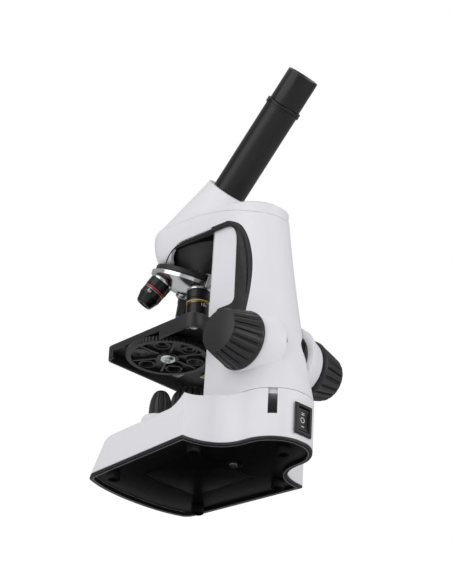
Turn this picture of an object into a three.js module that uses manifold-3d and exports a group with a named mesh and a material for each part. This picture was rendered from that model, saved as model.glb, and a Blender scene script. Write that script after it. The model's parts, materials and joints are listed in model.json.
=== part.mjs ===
// A student microscope with an inclined eyepiece tube, a three-objective turret, a rack-and-pinion stage,
// a filter wheel and two battery-powered lamps. Millimetres, +Z up. While the parts are drawn, Y = 0 is the
// optical axis and Z = 0 is the surface that the feet stand on; the front of the microscope is -Y.
// The finished group is moved along Y so that the origin is below the middle of the whole object.
import * as THREE from 'three';
import { mergeVertices } from 'three/addons/utils/BufferGeometryUtils.js';
import Module from 'manifold-3d';

const wasm = await Module();
wasm.setup();

// ---------------------------------------------------------------- sizes
const GAP = 0.3;                 // between pieces that touch or are pressed together
const RUN = 0.35;                // radial play of a turning or sliding fit

// base, in plan
const BASE_FRONT = 53.5;         // optical axis to the front edge
const BASE_FRONT_HALF = 45;      // half width at the front corners
const BASE_CORNER_Y = -44.5;     // where the front corners lie
const SHOULDER_HALF = 53.4;      // half width at the sharp rear shoulders
const SHOULDER_Y = 47.8;
const LOBE_HALF = 24.6;          // half width of the lobe that carries the column
const LOBE_BACK = 97;            // optical axis to the back face
const LOBE_ROUND = 25;           // length of the rounded back corners
// base, in height
const FOOT_HEIGHT = 5.4;         // surface to the recessed face of the bottom plate
const SHELL_BOTTOM = 5.2;
const LIP_WIDTH = 3.2;           // rim of the bottom plate
const LIP_BOTTOM = 3.4;
const DECK_Z = 28;               // flat top of the base
const FRONT_LEAN = 13;           // how far the front face leans back
const SEAM_Z = 37;               // joint between base and column
const WALL = 2.2;                // white mouldings
const RAMP_START = 31;           // where the deck begins to rise to the column
const RAMP_END = 53;

// column and head
const COLUMN_TOP_HALF = 21;      // half width of the head and of the column's top
const COLUMN_TOP_Z = 177;        // where the column reaches its smallest plan
const SEAM_FRONT_Z = 177.6;      // joint between arm and head cover, above the nose
const HEAD_BOTTOM_Z = 154.6;     // lowest edge of the rounded nose
const OPENING_TOP_Z = 164.4;     // upper edge of the C-shaped opening
const NOSE_Y = -13.5;            // centre of the round nose
const COLUMN_TOP_BACK = 71.5;
const CAP_TOP_Z = 181.6;
const CAP_SLOPE = 0.085;         // fall of the cap's top towards the back
const LINER_FRONT = 54;          // front face of the upper liner
const BLOCK_FRONT = 38;          // front face of the focus block
const BLOCK_TOP_Z = 104;
const BLOCK_HALF = 18;

// eyepiece tube, 45 degrees; distances run along the tube from the optical axis
const TUBE_ANGLE = 45;
const TUBE_ORIGIN_Z = 175.8;
const COLLAR_AT = 34.4;
const COLLAR_R = 15;
const TUBE_R = 11.25;
const TUBE_BORE_R = 10;
const TUBE_START = 13;
const RING_AT = 98.2;
const RING_WIDTH = 3.7;
const RING_R = 12.1;
const EYEPIECE_R = 10.8;
const EYEPIECE_HEIGHT = 22.9;
const EYEPIECE_INSERT = 27;

// nosepiece: every objective's axis meets at the apex on the optical axis
const APEX_Z = 176;
const TURRET_TILT = 22;          // turret axis to optical axis, degrees
const DOME_R = 41;               // apex to the turret's domed face
const DOME_WALL = 2.2;
const SEAT_HEIGHT = 0.3;
const TURRET_R = 23.5;
const TURRET_RIM = 2.6;
const PLATE_R = 21.6;
const PLATE_THICK = 3.8;
const FUNNEL_R = 8.2;            // neck of the funnel above the plate
const FUNNEL_NECK_Z = 145;
const FUNNEL_HALF = 15.5;        // long oval rim of the funnel
const FUNNEL_REACH = 26.5;
const OBJECTIVE_R = 7.8;
const OBJECTIVES = [
  { name: '4x', turn: 240, length: 18.2, taperFrom: 0.66, tipR: 5.2, aperture: 3 },
  { name: '10x', turn: 0, length: 19, taperFrom: 0.9, tipR: 6, aperture: 2.4 },
  { name: '40x', turn: 120, length: 20.5, taperFrom: 0.8, tipR: 4.8, aperture: 1.6 },
];

// stage
const STAGE_TOP_Z = 94;
const STAGE_HALF = 44;           // half width at the rear
const STAGE_FRONT_HALF = 40.5;
const STAGE_FRONT = -40.5;
const STAGE_REAR = 43;
const STAGE_PLATE = 2.4;
const STAGE_FLANGE = 10;
const FLANGE_WALL = 1.7;
const STAGE_APERTURE_R = 9;
const STAGE_LIFT = 17.5;           // travel above the rest position
const STAGE_DROP = 5;            // travel below it
// filter wheel
const WHEEL_X = 16.3;
const WHEEL_Y = -8.1;
const WHEEL_R = 27.2;
const WHEEL_BOTTOM_Z = 84.9;
const WHEEL_THICK = 3.8;
const WHEEL_TEETH = 60;
const WHEEL_GATE = [-34, 10.5];  // cut in the right flange where the wheel's rim can be reached
const POCKET_R = 4.6;

// focus
const FOCUS_Y = 70.4;
const FOCUS_Z = 70;
const KNOB_FACE_X = 49;
const KNOB_LENGTH = 22;
const KNOB_R = 19.3;
const KNOB_FACE_R = 13.6;
const KNOB_RIBS = 20;
const BOSS_R = 17.5;
const BOSS_END_X = 26.4;
const SHAFT_R = 2.5;
const PINION_TEETH = 15;
const TOOTH_MODULE = 0.8;
const RACK_FACE_PLAY = 0.25;     // backlash between rack and pinion
const RACK_BACK_Y = FOCUS_Y - 12; // back of the slider, where the rack sits
const CARRIAGE_BOTTOM_Z = 54;
const SLIDER_TOP_Z = 78;
const SLOT_HALF = 7.3;           // half width of the slot in the focus block
const ROD_R = 2;
const ROD_X = 9;
const ROD_Y = BLOCK_FRONT + 10;

// lamps and switches
const TOWER_R = 14;
const TOWER_TOP_Z = 64.8;
const DIMMER_X = 31.8;
const DIMMER_Y = 4.2;
const DIMMER_COLLAR_R = 9.5;
const DIMMER_COLLAR_Z = 34.5;
const DIMMER_R = 7.3;
const DIMMER_HEIGHT = 18.2;
const SWITCH_Z = 19;
const SWITCH_WIDTH = 15;
const SWITCH_HEIGHT = 21;
const BEZEL = 1.8;
const ROCKER_WIDTH = 9.4;
const ROCKER_HEIGHT = 15;
const LAMP_Y = 34.8;
const LAMP_Z = 122;
const LAMP_TILT = 32;            // below the horizontal, degrees
const LAMP_R = 13;
const LAMP_BACK_R = 8.5;
const LAMP_LENGTH = 21;

// battery bay and feet
const DOOR_HALF_X = 23.5;
const DOOR_FRONT = -18;
const DOOR_REAR = 34.6;
const DOOR_THICK = 1.8;
const CELL_R = 7.1;
const CELL_LENGTH = 50;
const FOOT_R = 4.2;
const FOOT_HOLE_R = 2.3;
const FEET = [
  ['foot_front_right', 37.2, -29.5], ['foot_front_left', -37.2, -29.5],
  ['foot_middle_right', 37.2, 41.5], ['foot_middle_left', -37.2, 41.5], ['foot_rear', 0, 82],
];

// ---------------------------------------------------------------- finishes
const WHITE = { color: 0xe9e8ec, roughness: 0.42, metalness: 0 };
const BLACK = { color: 0x17171a, roughness: 0.5, metalness: 0 };
const GLOSS_BLACK = { color: 0x0c0c0e, roughness: 0.25, metalness: 0.1 };
const RUBBER = { color: 0x101012, roughness: 0.8, metalness: 0 };
const CHROME = { color: 0xc9cbcc, roughness: 0.16, metalness: 1 };
const STEEL = { color: 0x9a9c9e, roughness: 0.3, metalness: 1 };
const ZINC = { color: 0xb9c4c2, roughness: 0.3, metalness: 1 };
const BRASS = { color: 0xb08a46, roughness: 0.35, metalness: 1 };
const GLASS = { color: 0xcfe0ea, roughness: 0.05, metalness: 0, transparent: true, opacity: 0.4 };
const BOARD = { color: 0x1f5b34, roughness: 0.6, metalness: 0 };
const CELL = { color: 0x6d7478, roughness: 0.35, metalness: 0.6 };
const WARM_PLASTIC = { color: 0xd9d6c8, roughness: 0.5, metalness: 0 };

const microscope = new THREE.Group();
const rad = THREE.MathUtils.degToRad;

function piece(name, shape, finish, parent = microscope) {
  const mesh = new THREE.Mesh(asGeometry(shape), new THREE.MeshStandardMaterial(finish));
  mesh.name = name;
  parent.add(mesh);
  return mesh;
}

// ---------------------------------------------------------------- solids
function solid(geometry) {
  const bare = geometry.clone();
  bare.deleteAttribute('normal');
  bare.deleteAttribute('uv');
  const merged = mergeVertices(bare, 1e-4);
  return new wasm.Manifold(new wasm.Mesh({
    numProp: 3,
    vertProperties: new Float32Array(merged.attributes.position.array),
    triVerts: new Uint32Array(merged.index.array),
  }));
}

function asGeometry(shape) {
  if (shape.isBufferGeometry) return shape;
  const mesh = shape.getMesh();
  const geometry = new THREE.BufferGeometry();
  geometry.setAttribute('position', new THREE.Float32BufferAttribute(mesh.vertProperties, 3));
  geometry.setIndex([...mesh.triVerts]);
  return geometry;
}

const union = (...shapes) => shapes.reduce((all, shape) => all.add(shape));
const cut = (shape, ...tools) => tools.reduce((left, tool) => left.subtract(tool), shape);

// A box between two corners.
function block(low, high) {
  const size = high.map((value, axis) => value - low[axis]);
  const geometry = new THREE.BoxGeometry(...size);
  geometry.translate(...low.map((value, axis) => value + size[axis] / 2));
  return solid(geometry);
}

// A cylinder or cone between two points.
function rod(from, to, r0, r1 = r0, sides = 16) {
  const start = new THREE.Vector3(...from);
  const along = new THREE.Vector3(...to).sub(start);
  const geometry = new THREE.CylinderGeometry(r1, r0, along.length(), sides);
  geometry.translate(0, along.length() / 2, 0);
  geometry.applyQuaternion(new THREE.Quaternion()
    .setFromUnitVectors(new THREE.Vector3(0, 1, 0), along.clone().normalize()));
  geometry.translate(...from);
  return solid(geometry);
}

// A turned solid about Z from [radius, z] pairs, listed from the bottom outwards and up.
function turned(profile, sides = 24) {
  const geometry = new THREE.LatheGeometry(profile.map(([r, z]) => new THREE.Vector2(r, z)), sides);
  geometry.rotateX(Math.PI / 2);
  return solid(geometry);
}

// A side view drawn as a THREE.Shape in (Y, Z), carried across the width.
function across(shape, x0, x1, divisions = 6) {
  const geometry = new THREE.ExtrudeGeometry(shape, {
    depth: x1 - x0, bevelEnabled: false, curveSegments: divisions });
  geometry.applyMatrix4(new THREE.Matrix4().set(0, 0, 1, x0, 1, 0, 0, 0, 0, 1, 0, 0, 0, 0, 0, 1));
  return solid(geometry);
}

// A plan view drawn as a THREE.Shape in (X, Y), carried up.
function upward(shape, z0, z1, divisions = 6) {
  const geometry = new THREE.ExtrudeGeometry(shape, {
    depth: z1 - z0, bevelEnabled: false, curveSegments: divisions });
  geometry.translate(0, 0, z0);
  return solid(geometry);
}

// A skin over closed sections that all have the same number of points, capped at both ends.
function loft(sections) {
  const count = sections[0].length;
  const positions = sections.flat().flatMap(p => [p.x, p.y, p.z]);
  const index = [];
  for (let row = 0; row + 1 < sections.length; row += 1) {
    for (let i = 0; i < count; i += 1) {
      const a = row * count + i;
      const b = row * count + (i + 1) % count;
      index.push(a, b, b + count, a, b + count, a + count);
    }
  }
  const last = (sections.length - 1) * count;
  const flat = sections[0].map(p => new THREE.Vector2(p.x, p.y));
  for (const [a, b, c] of THREE.ShapeUtils.triangulateShape(flat, [])) index.push(a, c, b);
  const top = sections[sections.length - 1].map(p => new THREE.Vector2(p.x, p.y));
  for (const [a, b, c] of THREE.ShapeUtils.triangulateShape(top, [])) {
    index.push(last + a, last + b, last + c);
  }
  const geometry = new THREE.BufferGeometry();
  geometry.setAttribute('position', new THREE.Float32BufferAttribute(positions, 3));
  geometry.setIndex(index);
  return solid(geometry);
}

// An outline moved inwards by a distance, its corners kept.
function inset(outline, distance) {
  if (!distance) return outline.map(p => p.clone());
  return outline.map((point, i) => {
    const before = outline[(i + outline.length - 1) % outline.length];
    const after = outline[(i + 1) % outline.length];
    const into = point.clone().sub(before).normalize();
    const away = after.clone().sub(point).normalize();
    const half = into.clone().add(away).normalize();
    const inward = new THREE.Vector2(-half.y, half.x);
    const spread = Math.max(0.5, Math.sqrt((1 + into.dot(away)) / 2));
    return point.clone().addScaledVector(inward, distance / spread);
  });
}

const at = (outline, z) => outline.map(p => new THREE.Vector3(p.x, p.y, z));
const asShape = outline => new THREE.Shape(outline);

function circle(r, x = 0, y = 0, count = 32) {
  return Array.from({ length: count }, (_, i) => {
    const turn = 2 * Math.PI * i / count;
    return new THREE.Vector2(x + r * Math.cos(turn), y + r * Math.sin(turn));
  });
}

// An outline with ribs: flats of the full radius between grooves of the given depth.
function ribbed(r, depth, ribs, fill = 0.6) {
  const steps = [[0, 1], [fill, 1], [fill + (1 - fill) * 0.3, 0], [1 - (1 - fill) * 0.3, 0]];
  return Array.from({ length: ribs }, (_, rib) => steps.map(([share, full]) => {
    const turn = 2 * Math.PI * (rib + share) / ribs;
    const reach = r - (full ? 0 : depth);
    return new THREE.Vector2(reach * Math.cos(turn), reach * Math.sin(turn));
  })).flat();
}

// ---------------------------------------------------------------- outlines
// Base outline, anticlockwise from the middle of the front; lean moves the front edge back.
function basePlan(lean = 0) {
  const shape = new THREE.Shape();
  const side = sign => [
    new THREE.Vector2(sign * (BASE_FRONT_HALF - 6), BASE_CORNER_Y - 3 + lean),
    new THREE.Vector2(sign * BASE_FRONT_HALF, BASE_CORNER_Y - 1 + lean),
    new THREE.Vector2(sign * (BASE_FRONT_HALF + 0.5), BASE_CORNER_Y + 6 + lean),
  ];
  const [bow, corner, flank] = side(1);
  const roundStart = LOBE_BACK - LOBE_ROUND;
  shape.moveTo(0, -BASE_FRONT + lean);
  shape.quadraticCurveTo(bow.x * 0.6, -BASE_FRONT + lean, bow.x, bow.y);
  shape.quadraticCurveTo(corner.x, corner.y, flank.x, flank.y);
  shape.lineTo(SHOULDER_HALF, SHOULDER_Y);
  shape.quadraticCurveTo(LOBE_HALF + 2, SHOULDER_Y + 1.2, LOBE_HALF, SHOULDER_Y + 23.5);
  shape.lineTo(LOBE_HALF, roundStart);
  backCorner(shape, LOBE_HALF, LOBE_BACK);
  const half = shape.getPoints(6);
  const mirrored = half.slice(1).map(p => new THREE.Vector2(-p.x, p.y)).reverse();
  return [...half, ...mirrored];
}

// Carry a plan round its right back corner.
function backCorner(shape, halfWidth, back) {
  shape.bezierCurveTo(halfWidth, back - LOBE_ROUND * 0.52, halfWidth * 0.65, back - LOBE_ROUND * 0.08,
    halfWidth * 0.16, back);
}

// Plan of the column at a height: flat sides, a rounded back, cut straight at its front.
function columnPlan(halfWidth, back, front) {
  const shape = new THREE.Shape();
  shape.moveTo(halfWidth, front);
  shape.lineTo(halfWidth, back - LOBE_ROUND);
  backCorner(shape, halfWidth, back);
  const half = shape.getPoints(6);
  const mirrored = half.map(p => new THREE.Vector2(-p.x, p.y)).reverse();
  return [...half, ...mirrored];
}

// Plan of the head: the column's plan with a half-round nose in front.
function headPlan(halfWidth, back) {
  const nose = Array.from({ length: 13 }, (_, i) => {
    const turn = Math.PI + Math.PI * i / 12;
    return new THREE.Vector2(halfWidth * Math.cos(turn), NOSE_Y + halfWidth * Math.sin(turn));
  });
  return [...nose, ...columnPlan(halfWidth, back, NOSE_Y + 30)];
}

// Half width and back face of the column between its foot and its head.
function columnAt(z) {
  const share = THREE.MathUtils.clamp((z - SEAM_Z) / (COLUMN_TOP_Z - SEAM_Z), 0, 1);
  const ease = share + 0.35 * share * (1 - share);
  return {
    half: THREE.MathUtils.lerp(LOBE_HALF, COLUMN_TOP_HALF, Math.min(1, share * 1.15)),
    back: THREE.MathUtils.lerp(LOBE_BACK, COLUMN_TOP_BACK, ease),
  };
}

// Front edge of the white shell, seen from the side, from the base up and round to the nose.
// The offset moves the curve into the white material.
function openingEdge(offset = 0) {
  const shape = new THREE.Shape();
  shape.moveTo(RAMP_END - 3 + offset, SEAM_Z - 4);
  shape.splineThru([
    new THREE.Vector2(54.6 + offset, 46), new THREE.Vector2(60.5 + offset, 64),
    new THREE.Vector2(65.2 + offset, 86), new THREE.Vector2(67.5 + offset, 108),
    new THREE.Vector2(67.1 + offset, 127), new THREE.Vector2(64.6 + offset, 141),
    new THREE.Vector2(60.7 + offset * 0.8, 152 + offset * 0.4),
    new THREE.Vector2(55.2 + offset * 0.6, 159.5 + offset * 0.7),
    new THREE.Vector2(45.5, OPENING_TOP_Z + offset),
  ]);
  shape.lineTo(4, OPENING_TOP_Z + offset);
  shape.quadraticCurveTo(-9.5 - offset * 0.7, OPENING_TOP_Z - 0.5 + offset * 0.7,
    NOSE_Y - offset, HEAD_BOTTOM_Z - 4);
  return shape;
}

// The whole space in front of the white shell's edge.
function openingSpace(offset = 0) {
  const shape = openingEdge(offset);
  shape.lineTo(-80, HEAD_BOTTOM_Z - 4);
  shape.lineTo(-80, SEAM_Z - 4);
  return shape;
}

// Height of the base's top along Y: flat, then rising to the column's foot.
function deckProfile(lift = 0) {
  const shape = new THREE.Shape();
  shape.moveTo(-60, -5);
  shape.lineTo(110, -5);
  shape.lineTo(110, SEAM_Z + lift);
  shape.lineTo(RAMP_END, SEAM_Z + lift);
  shape.quadraticCurveTo(RAMP_END - 12, DECK_Z + lift, RAMP_START, DECK_Z + lift);
  shape.lineTo(-60, DECK_Z + lift);
  return shape;
}

// ---------------------------------------------------------------- base
// How far the front face has leaned back at a height.
function leanAt(z) {
  return (z - SHELL_BOTTOM) / (DECK_Z - 4 - SHELL_BOTTOM) * (FRONT_LEAN - 2);
}

function baseBody(wall) {
  const low = SHELL_BOTTOM - (wall ? 1 : 0);
  const levels = [[low, leanAt(low), 0], [DECK_Z - 4, FRONT_LEAN - 2, 0],
    [DECK_Z - 1.2, FRONT_LEAN, 0.7], [DECK_Z - (wall || 0), FRONT_LEAN + 1.5, 2.4]];
  const platform = loft(levels.map(([z, lean, edge]) => at(inset(basePlan(lean), edge + wall), z)));
  const neckPlan = inset(basePlan(0), wall);
  const neck = upward(asShape(neckPlan), low, SEAM_Z + (wall ? 1 : 0));
  const behind = across(deckProfile(-wall), -60, 60);
  const rear = block([-60, RAMP_START - 4, -6], [60, 120, SEAM_Z + 2]);
  const open = wall ? across(asShape([
    new THREE.Vector2(RAMP_END + 6, SEAM_Z - 6), new THREE.Vector2(110, SEAM_Z - 6),
    new THREE.Vector2(110, SEAM_Z + 3), new THREE.Vector2(RAMP_END + 6, SEAM_Z + 3)]), -60, 60) : null;
  const ramped = neck.intersect(rear).intersect(open ? behind.add(open) : behind);
  return platform.add(ramped);
}

function baseShell() {
  const collar = rod([DIMMER_X, DIMMER_Y, DECK_Z - 2.5], [DIMMER_X, DIMMER_Y, DIMMER_COLLAR_Z],
    DIMMER_COLLAR_R + 1.2, DIMMER_COLLAR_R, 32);
  const dimmerHole = rod([DIMMER_X, DIMMER_Y, 10], [DIMMER_X, DIMMER_Y, 50], 4, 4, 20);
  const dimmerWell = rod([DIMMER_X, DIMMER_Y, 10], [DIMMER_X, DIMMER_Y, DIMMER_COLLAR_Z - WALL],
    DIMMER_COLLAR_R - WALL, DIMMER_COLLAR_R - WALL, 24);
  const towerHole = rod([0, 0, 10], [0, 0, 40], TOWER_R - 3, TOWER_R - 3, 28);
  const pocketX = SWITCH_WIDTH / 2 - BEZEL + 0.4;
  const pocketZ = SWITCH_HEIGHT / 2 - BEZEL + 0.4;
  const switchHole = block([-pocketX, LOBE_BACK - 8, SWITCH_Z - pocketZ],
    [pocketX, LOBE_BACK + 5, SWITCH_Z + pocketZ]);
  return cut(union(baseBody(0), collar), baseBody(WALL), dimmerHole, dimmerWell, towerHole, switchHole);
}

function bottomPlate() {
  const outline = (extra, z) => at(inset(basePlan(leanAt(z)), extra), z);
  const lipTop = SHELL_BOTTOM - GAP;
  const lip = loft([outline(0.5, LIP_BOTTOM), outline(0.1, LIP_BOTTOM + 0.5), outline(0.1, lipTop)]);
  const plate = union(lip, loft([outline(WALL + GAP, lipTop - 0.5), outline(WALL + GAP, FOOT_HEIGHT + 2)]));
  const recess = loft([outline(LIP_WIDTH, 0), outline(LIP_WIDTH, FOOT_HEIGHT)]);
  const bay = block([-DOOR_HALF_X - 1.8, DOOR_FRONT - 1.8, FOOT_HEIGHT],
    [DOOR_HALF_X + 1.8, DOOR_REAR + 1.8, FOOT_HEIGHT + 18.5]);
  const room = block([-DOOR_HALF_X, DOOR_FRONT, 0], [DOOR_HALF_X, DOOR_REAR, FOOT_HEIGHT + 17]);
  const notch = rod([0, DOOR_REAR + 3, 0], [0, DOOR_REAR + 3, FOOT_HEIGHT + 1.2], 7.5, 7.5, 24);
  const screwHole = rod([0, DOOR_REAR + 4.5, 0], [0, DOOR_REAR + 4.5, 20], 1.9, 1.9, 12);
  const pegHoles = FEET.map(([, x, y]) => rod([x, y, 0], [x, y, 20], FOOT_HOLE_R + 0.6,
    FOOT_HOLE_R + 0.6, 16));
  return cut(union(cut(plate, recess), bay), room, notch, screwHole, ...pegHoles);
}

function foot(x, y) {
  const outer = FOOT_R;
  return turned([[FOOT_HOLE_R, 0], [outer - 0.4, 0], [outer, 0.5], [outer, FOOT_HEIGHT - GAP],
    [FOOT_HOLE_R, FOOT_HEIGHT - GAP], [FOOT_HOLE_R, 0]], 14).translate([x, y, 0]);
}

function batteryDoor() {
  const play = 0.4;
  const panel = block([-DOOR_HALF_X + play, DOOR_FRONT + play, FOOT_HEIGHT - 0.2],
    [DOOR_HALF_X - play, DOOR_REAR - play, FOOT_HEIGHT - 0.2 + DOOR_THICK]);
  const tab = rod([0, DOOR_REAR + 3, FOOT_HEIGHT + 0.3 - 0.5], [0, DOOR_REAR + 3, FOOT_HEIGHT + 0.9],
    7.1, 7.1, 24);
  const hole = rod([0, DOOR_REAR + 4.5, 0], [0, DOOR_REAR + 4.5, 20], 1.9, 1.9, 12);
  return cut(union(panel, tab), hole);
}

// Round-headed screw with a crossed recess, its head towards -Z at z = 0.
function crossScrew(headR, headHeight, shankR, length) {
  const body = turned([[0, 0], [headR * 0.6, 0], [headR * 0.92, headHeight * 0.45],
    [headR, headHeight], [shankR, headHeight], [shankR, headHeight + length],
    [0, headHeight + length]], 14);
  const slot = headR * 0.55;
  const narrow = headR * 0.13;
  return cut(body, block([-slot, -narrow, -1], [slot, narrow, headHeight * 0.6]),
    block([-narrow, -slot, -1], [narrow, slot, headHeight * 0.6]));
}

function buildBase() {
  piece('base_shell', baseShell(), WHITE);
  piece('bottom_plate', bottomPlate(), BLACK);
  for (const [name, x, y] of FEET) piece(name, foot(x, y), RUBBER);
  piece('battery_door', batteryDoor(), BLACK);
  const doorScrew = piece('battery_door_screw', crossScrew(3, 1.8, 1.5, 6), ZINC);
  doorScrew.position.set(0, DOOR_REAR + 4.5, FOOT_HEIGHT - GAP - 1.8 - 0.2);
  const middle = (DOOR_FRONT + DOOR_REAR) / 2;
  for (const lane of [-1, 0, 1]) {
    const x = lane * (2 * CELL_R + 0.5);
    const z = FOOT_HEIGHT + DOOR_THICK + CELL_R + 0.2;
    const can = rod([x, middle - CELL_LENGTH / 2, z], [x, middle + CELL_LENGTH / 2 - 1, z], CELL_R);
    const nub = rod([x, middle + CELL_LENGTH / 2 - 2, z], [x, middle + CELL_LENGTH / 2, z], 2.6, 2.6, 14);
    piece(`battery_${lane + 2}`, union(can, nub), CELL);
  }
  piece('circuit_board', cut(block([-20, 50, 15], [20, 74, 16.6]),
    rod([16, 70, 10], [16, 70, 20], 1.6, 1.6, 12), rod([-16, 70, 10], [-16, 70, 20], 1.6, 1.6, 12)), BOARD);
}

// ---------------------------------------------------------------- lamps and switches
function buildIlluminator() {
  const foot = DECK_Z + GAP;
  const ribs = loft([
    at(ribbed(TOWER_R, 1.2, 18), foot), at(ribbed(TOWER_R, 1.4, 18), TOWER_TOP_Z - 6),
    at(ribbed(TOWER_R - 3, 1.4, 18), TOWER_TOP_Z - 1)]);
  const eye = rod([0, 0, TOWER_TOP_Z - 3], [0, 0, TOWER_TOP_Z], TOWER_R - 4.2, TOWER_R - 4.2, 20);
  const bore = rod([0, 0, 20], [0, 0, TOWER_TOP_Z - 4], TOWER_R - 4.4, TOWER_R - 4.4, 20);
  const window = rod([0, 0, TOWER_TOP_Z - 6], [0, 0, TOWER_TOP_Z + 2], 6.5, 6.5, 24);
  piece('illuminator_housing', cut(union(ribs, eye), bore, window), BLACK);
  piece('illuminator_lens', turned([[0, -1], [5, -1], [6.5 - GAP, 0], [6.5 - GAP, 1.6], [5, 2.6],
    [2.6, 3.3], [0, 3.5]], 24).translate([0, 0, TOWER_TOP_Z - 4.2]), GLASS);
  piece('illuminator_led', union(
    rod([0, 0, TOWER_TOP_Z - 14], [0, 0, TOWER_TOP_Z - 12.4], TOWER_R - 4.9, TOWER_R - 4.9, 16),
    rod([0, 0, TOWER_TOP_Z - 13], [0, 0, TOWER_TOP_Z - 9], 2.5, 2.2, 16)), WARM_PLASTIC);
}

function buildIncidentLamp() {
  const lamp = new THREE.Group();
  lamp.position.set(0, LAMP_Y, LAMP_Z);
  lamp.rotation.x = Math.PI / 2 + rad(LAMP_TILT);
  microscope.add(lamp);
  const shell = loft([at(ribbed(LAMP_BACK_R, 0.9, 16), -LAMP_LENGTH),
    at(ribbed(LAMP_R - 0.8, 1, 16), -2.2), at(ribbed(LAMP_R, 0.01, 16), -1.6), at(ribbed(LAMP_R, 0.01, 16), 0)]);
  const bowl = rod([0, 0, -LAMP_LENGTH + 4], [0, 0, 1], LAMP_BACK_R - 4, LAMP_R - 1.2, 24);
  piece('incident_lamp_housing', cut(shell, bowl), BLACK, lamp);
  piece('incident_lamp_lens', turned([[0, -2], [LAMP_R - 4, -2], [LAMP_R - 3.6, -0.8],
    [5, 0.2], [0, 0.6]], 20).translate([0, 0, -0.6]), GLASS, lamp);
}

function buildDimmer() {
  const start = DIMMER_COLLAR_Z + 0.4;
  const knob = new THREE.Group();
  knob.position.set(DIMMER_X, DIMMER_Y, start);
  microscope.add(knob);
  const body = loft([[0.3, 0], [0, 0.25], [0.4, 0.5], [1.4, 0.75], [2.9, 0.93], [4, 1]].map(([narrower, share]) =>
    at(ribbed(DIMMER_R - narrower, 0.6 - narrower * 0.08, 12), DIMMER_HEIGHT * share)));
  const socket = rod([0, 0, -1], [0, 0, 9], 3 + RUN, 3 + RUN, 20);
  piece('brightness_knob', cut(body, socket), BLACK, knob);
  piece('brightness_potentiometer', union(
    rod([0, 0, -start + 19], [0, 0, -start + 27], 6.2, 6.2, 20),
    rod([0, 0, -start + 26], [0, 0, 8], 3, 3, 20)), STEEL, knob);
}

function buildSwitch() {
  const y = LOBE_BACK;
  const halfX = SWITCH_WIDTH / 2;
  const halfZ = SWITCH_HEIGHT / 2;
  const bezelFace = y + BEZEL;
  const frame = (shrink, depth) => [
    [-halfX + shrink, depth, SWITCH_Z - halfZ + shrink], [halfX - shrink, depth, SWITCH_Z - halfZ + shrink],
    [halfX - shrink, depth, SWITCH_Z + halfZ - shrink], [-halfX + shrink, depth, SWITCH_Z + halfZ - shrink],
  ].map(p => new THREE.Vector3(...p));
  const bezel = solid(hullOfQuads(frame(0, y + GAP), frame(0.9, bezelFace)));
  const can = block([-halfX + BEZEL, y - 14, SWITCH_Z - halfZ + BEZEL],
    [halfX - BEZEL, y + 0.5, SWITCH_Z + halfZ - BEZEL]);
  const well = block([-ROCKER_WIDTH / 2 - 0.3, y - 11, SWITCH_Z - ROCKER_HEIGHT / 2 - 0.5],
    [ROCKER_WIDTH / 2 + 0.3, y + 4, SWITCH_Z + ROCKER_HEIGHT / 2 + 0.5]);
  piece('power_switch_body', cut(union(bezel, can), well), BLACK);
  const face = new THREE.Shape();
  face.moveTo(-3, -ROCKER_HEIGHT / 2 + 3.5);
  face.lineTo(4.9, -ROCKER_HEIGHT / 2 + 0.4);
  face.quadraticCurveTo(3.1, 0, 4.9, ROCKER_HEIGHT / 2 - 0.4);
  face.lineTo(-3, ROCKER_HEIGHT / 2 - 3.5);
  const rocker = across(face, -ROCKER_WIDTH / 2, ROCKER_WIDTH / 2).translate([0, y - 4, SWITCH_Z]);
  piece('power_switch_rocker', rocker, GLOSS_BLACK);
}

// A four-sided solid between two rings of four corners.
function hullOfQuads(back, front) {
  const geometry = new THREE.BufferGeometry();
  geometry.setAttribute('position', new THREE.Float32BufferAttribute(
    [...back, ...front].flatMap(p => [p.x, p.y, p.z]), 3));
  const index = [0, 1, 2, 0, 2, 3, 4, 6, 5, 4, 7, 6];
  for (let i = 0; i < 4; i += 1) {
    const j = (i + 1) % 4;
    index.push(i, i + 4, j + 4, i, j + 4, j);
  }
  geometry.setIndex(index);
  return geometry;
}

// ---------------------------------------------------------------- arm
// The arm and head in one, before they are divided at the seam.
function armBody(wall, low = wall ? SEAM_Z - 3 : SEAM_Z + GAP) {
  const joinZ = 166;
  const levels = [0, 0.2, 0.4, 0.6, 0.8, 1].map(share => THREE.MathUtils.lerp(low, joinZ, share));
  const column = loft(levels.map(z => {
    const { half, back } = columnAt(z);
    return at(inset(columnPlan(half, back, 30), wall), z);
  }));
  const drop = y => CAP_SLOPE * Math.max(0, y - 10);
  const ring = (edge, z, sloped) => inset(headPlan(COLUMN_TOP_HALF, columnAt(z).back), edge + wall)
    .map(p => new THREE.Vector3(p.x, p.y, z - (sloped ? drop(p.y) : 0)));
  const capRise = CAP_TOP_Z - wall;
  const open = wall ? 2 : 0;
  const head = loft([ring(9.5 - open, HEAD_BOTTOM_Z - open), ring(7, HEAD_BOTTOM_Z + 0.7),
    ring(4.8, HEAD_BOTTOM_Z + 2.6), ring(3.1, HEAD_BOTTOM_Z + 5.2), ring(1.9, HEAD_BOTTOM_Z + 8.4),
    ring(1, HEAD_BOTTOM_Z + 11.4), ring(0.4, HEAD_BOTTOM_Z + 14.6), ring(0, capRise - 5.6, true),
    ring(0.5, capRise - 3.8, true), ring(1.6, capRise - 2.2, true), ring(3.2, capRise - 1, true),
    ring(5.2, capRise - 0.3, true), ring(7.6, capRise, true)]);
  return union(column, head);
}

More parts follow.
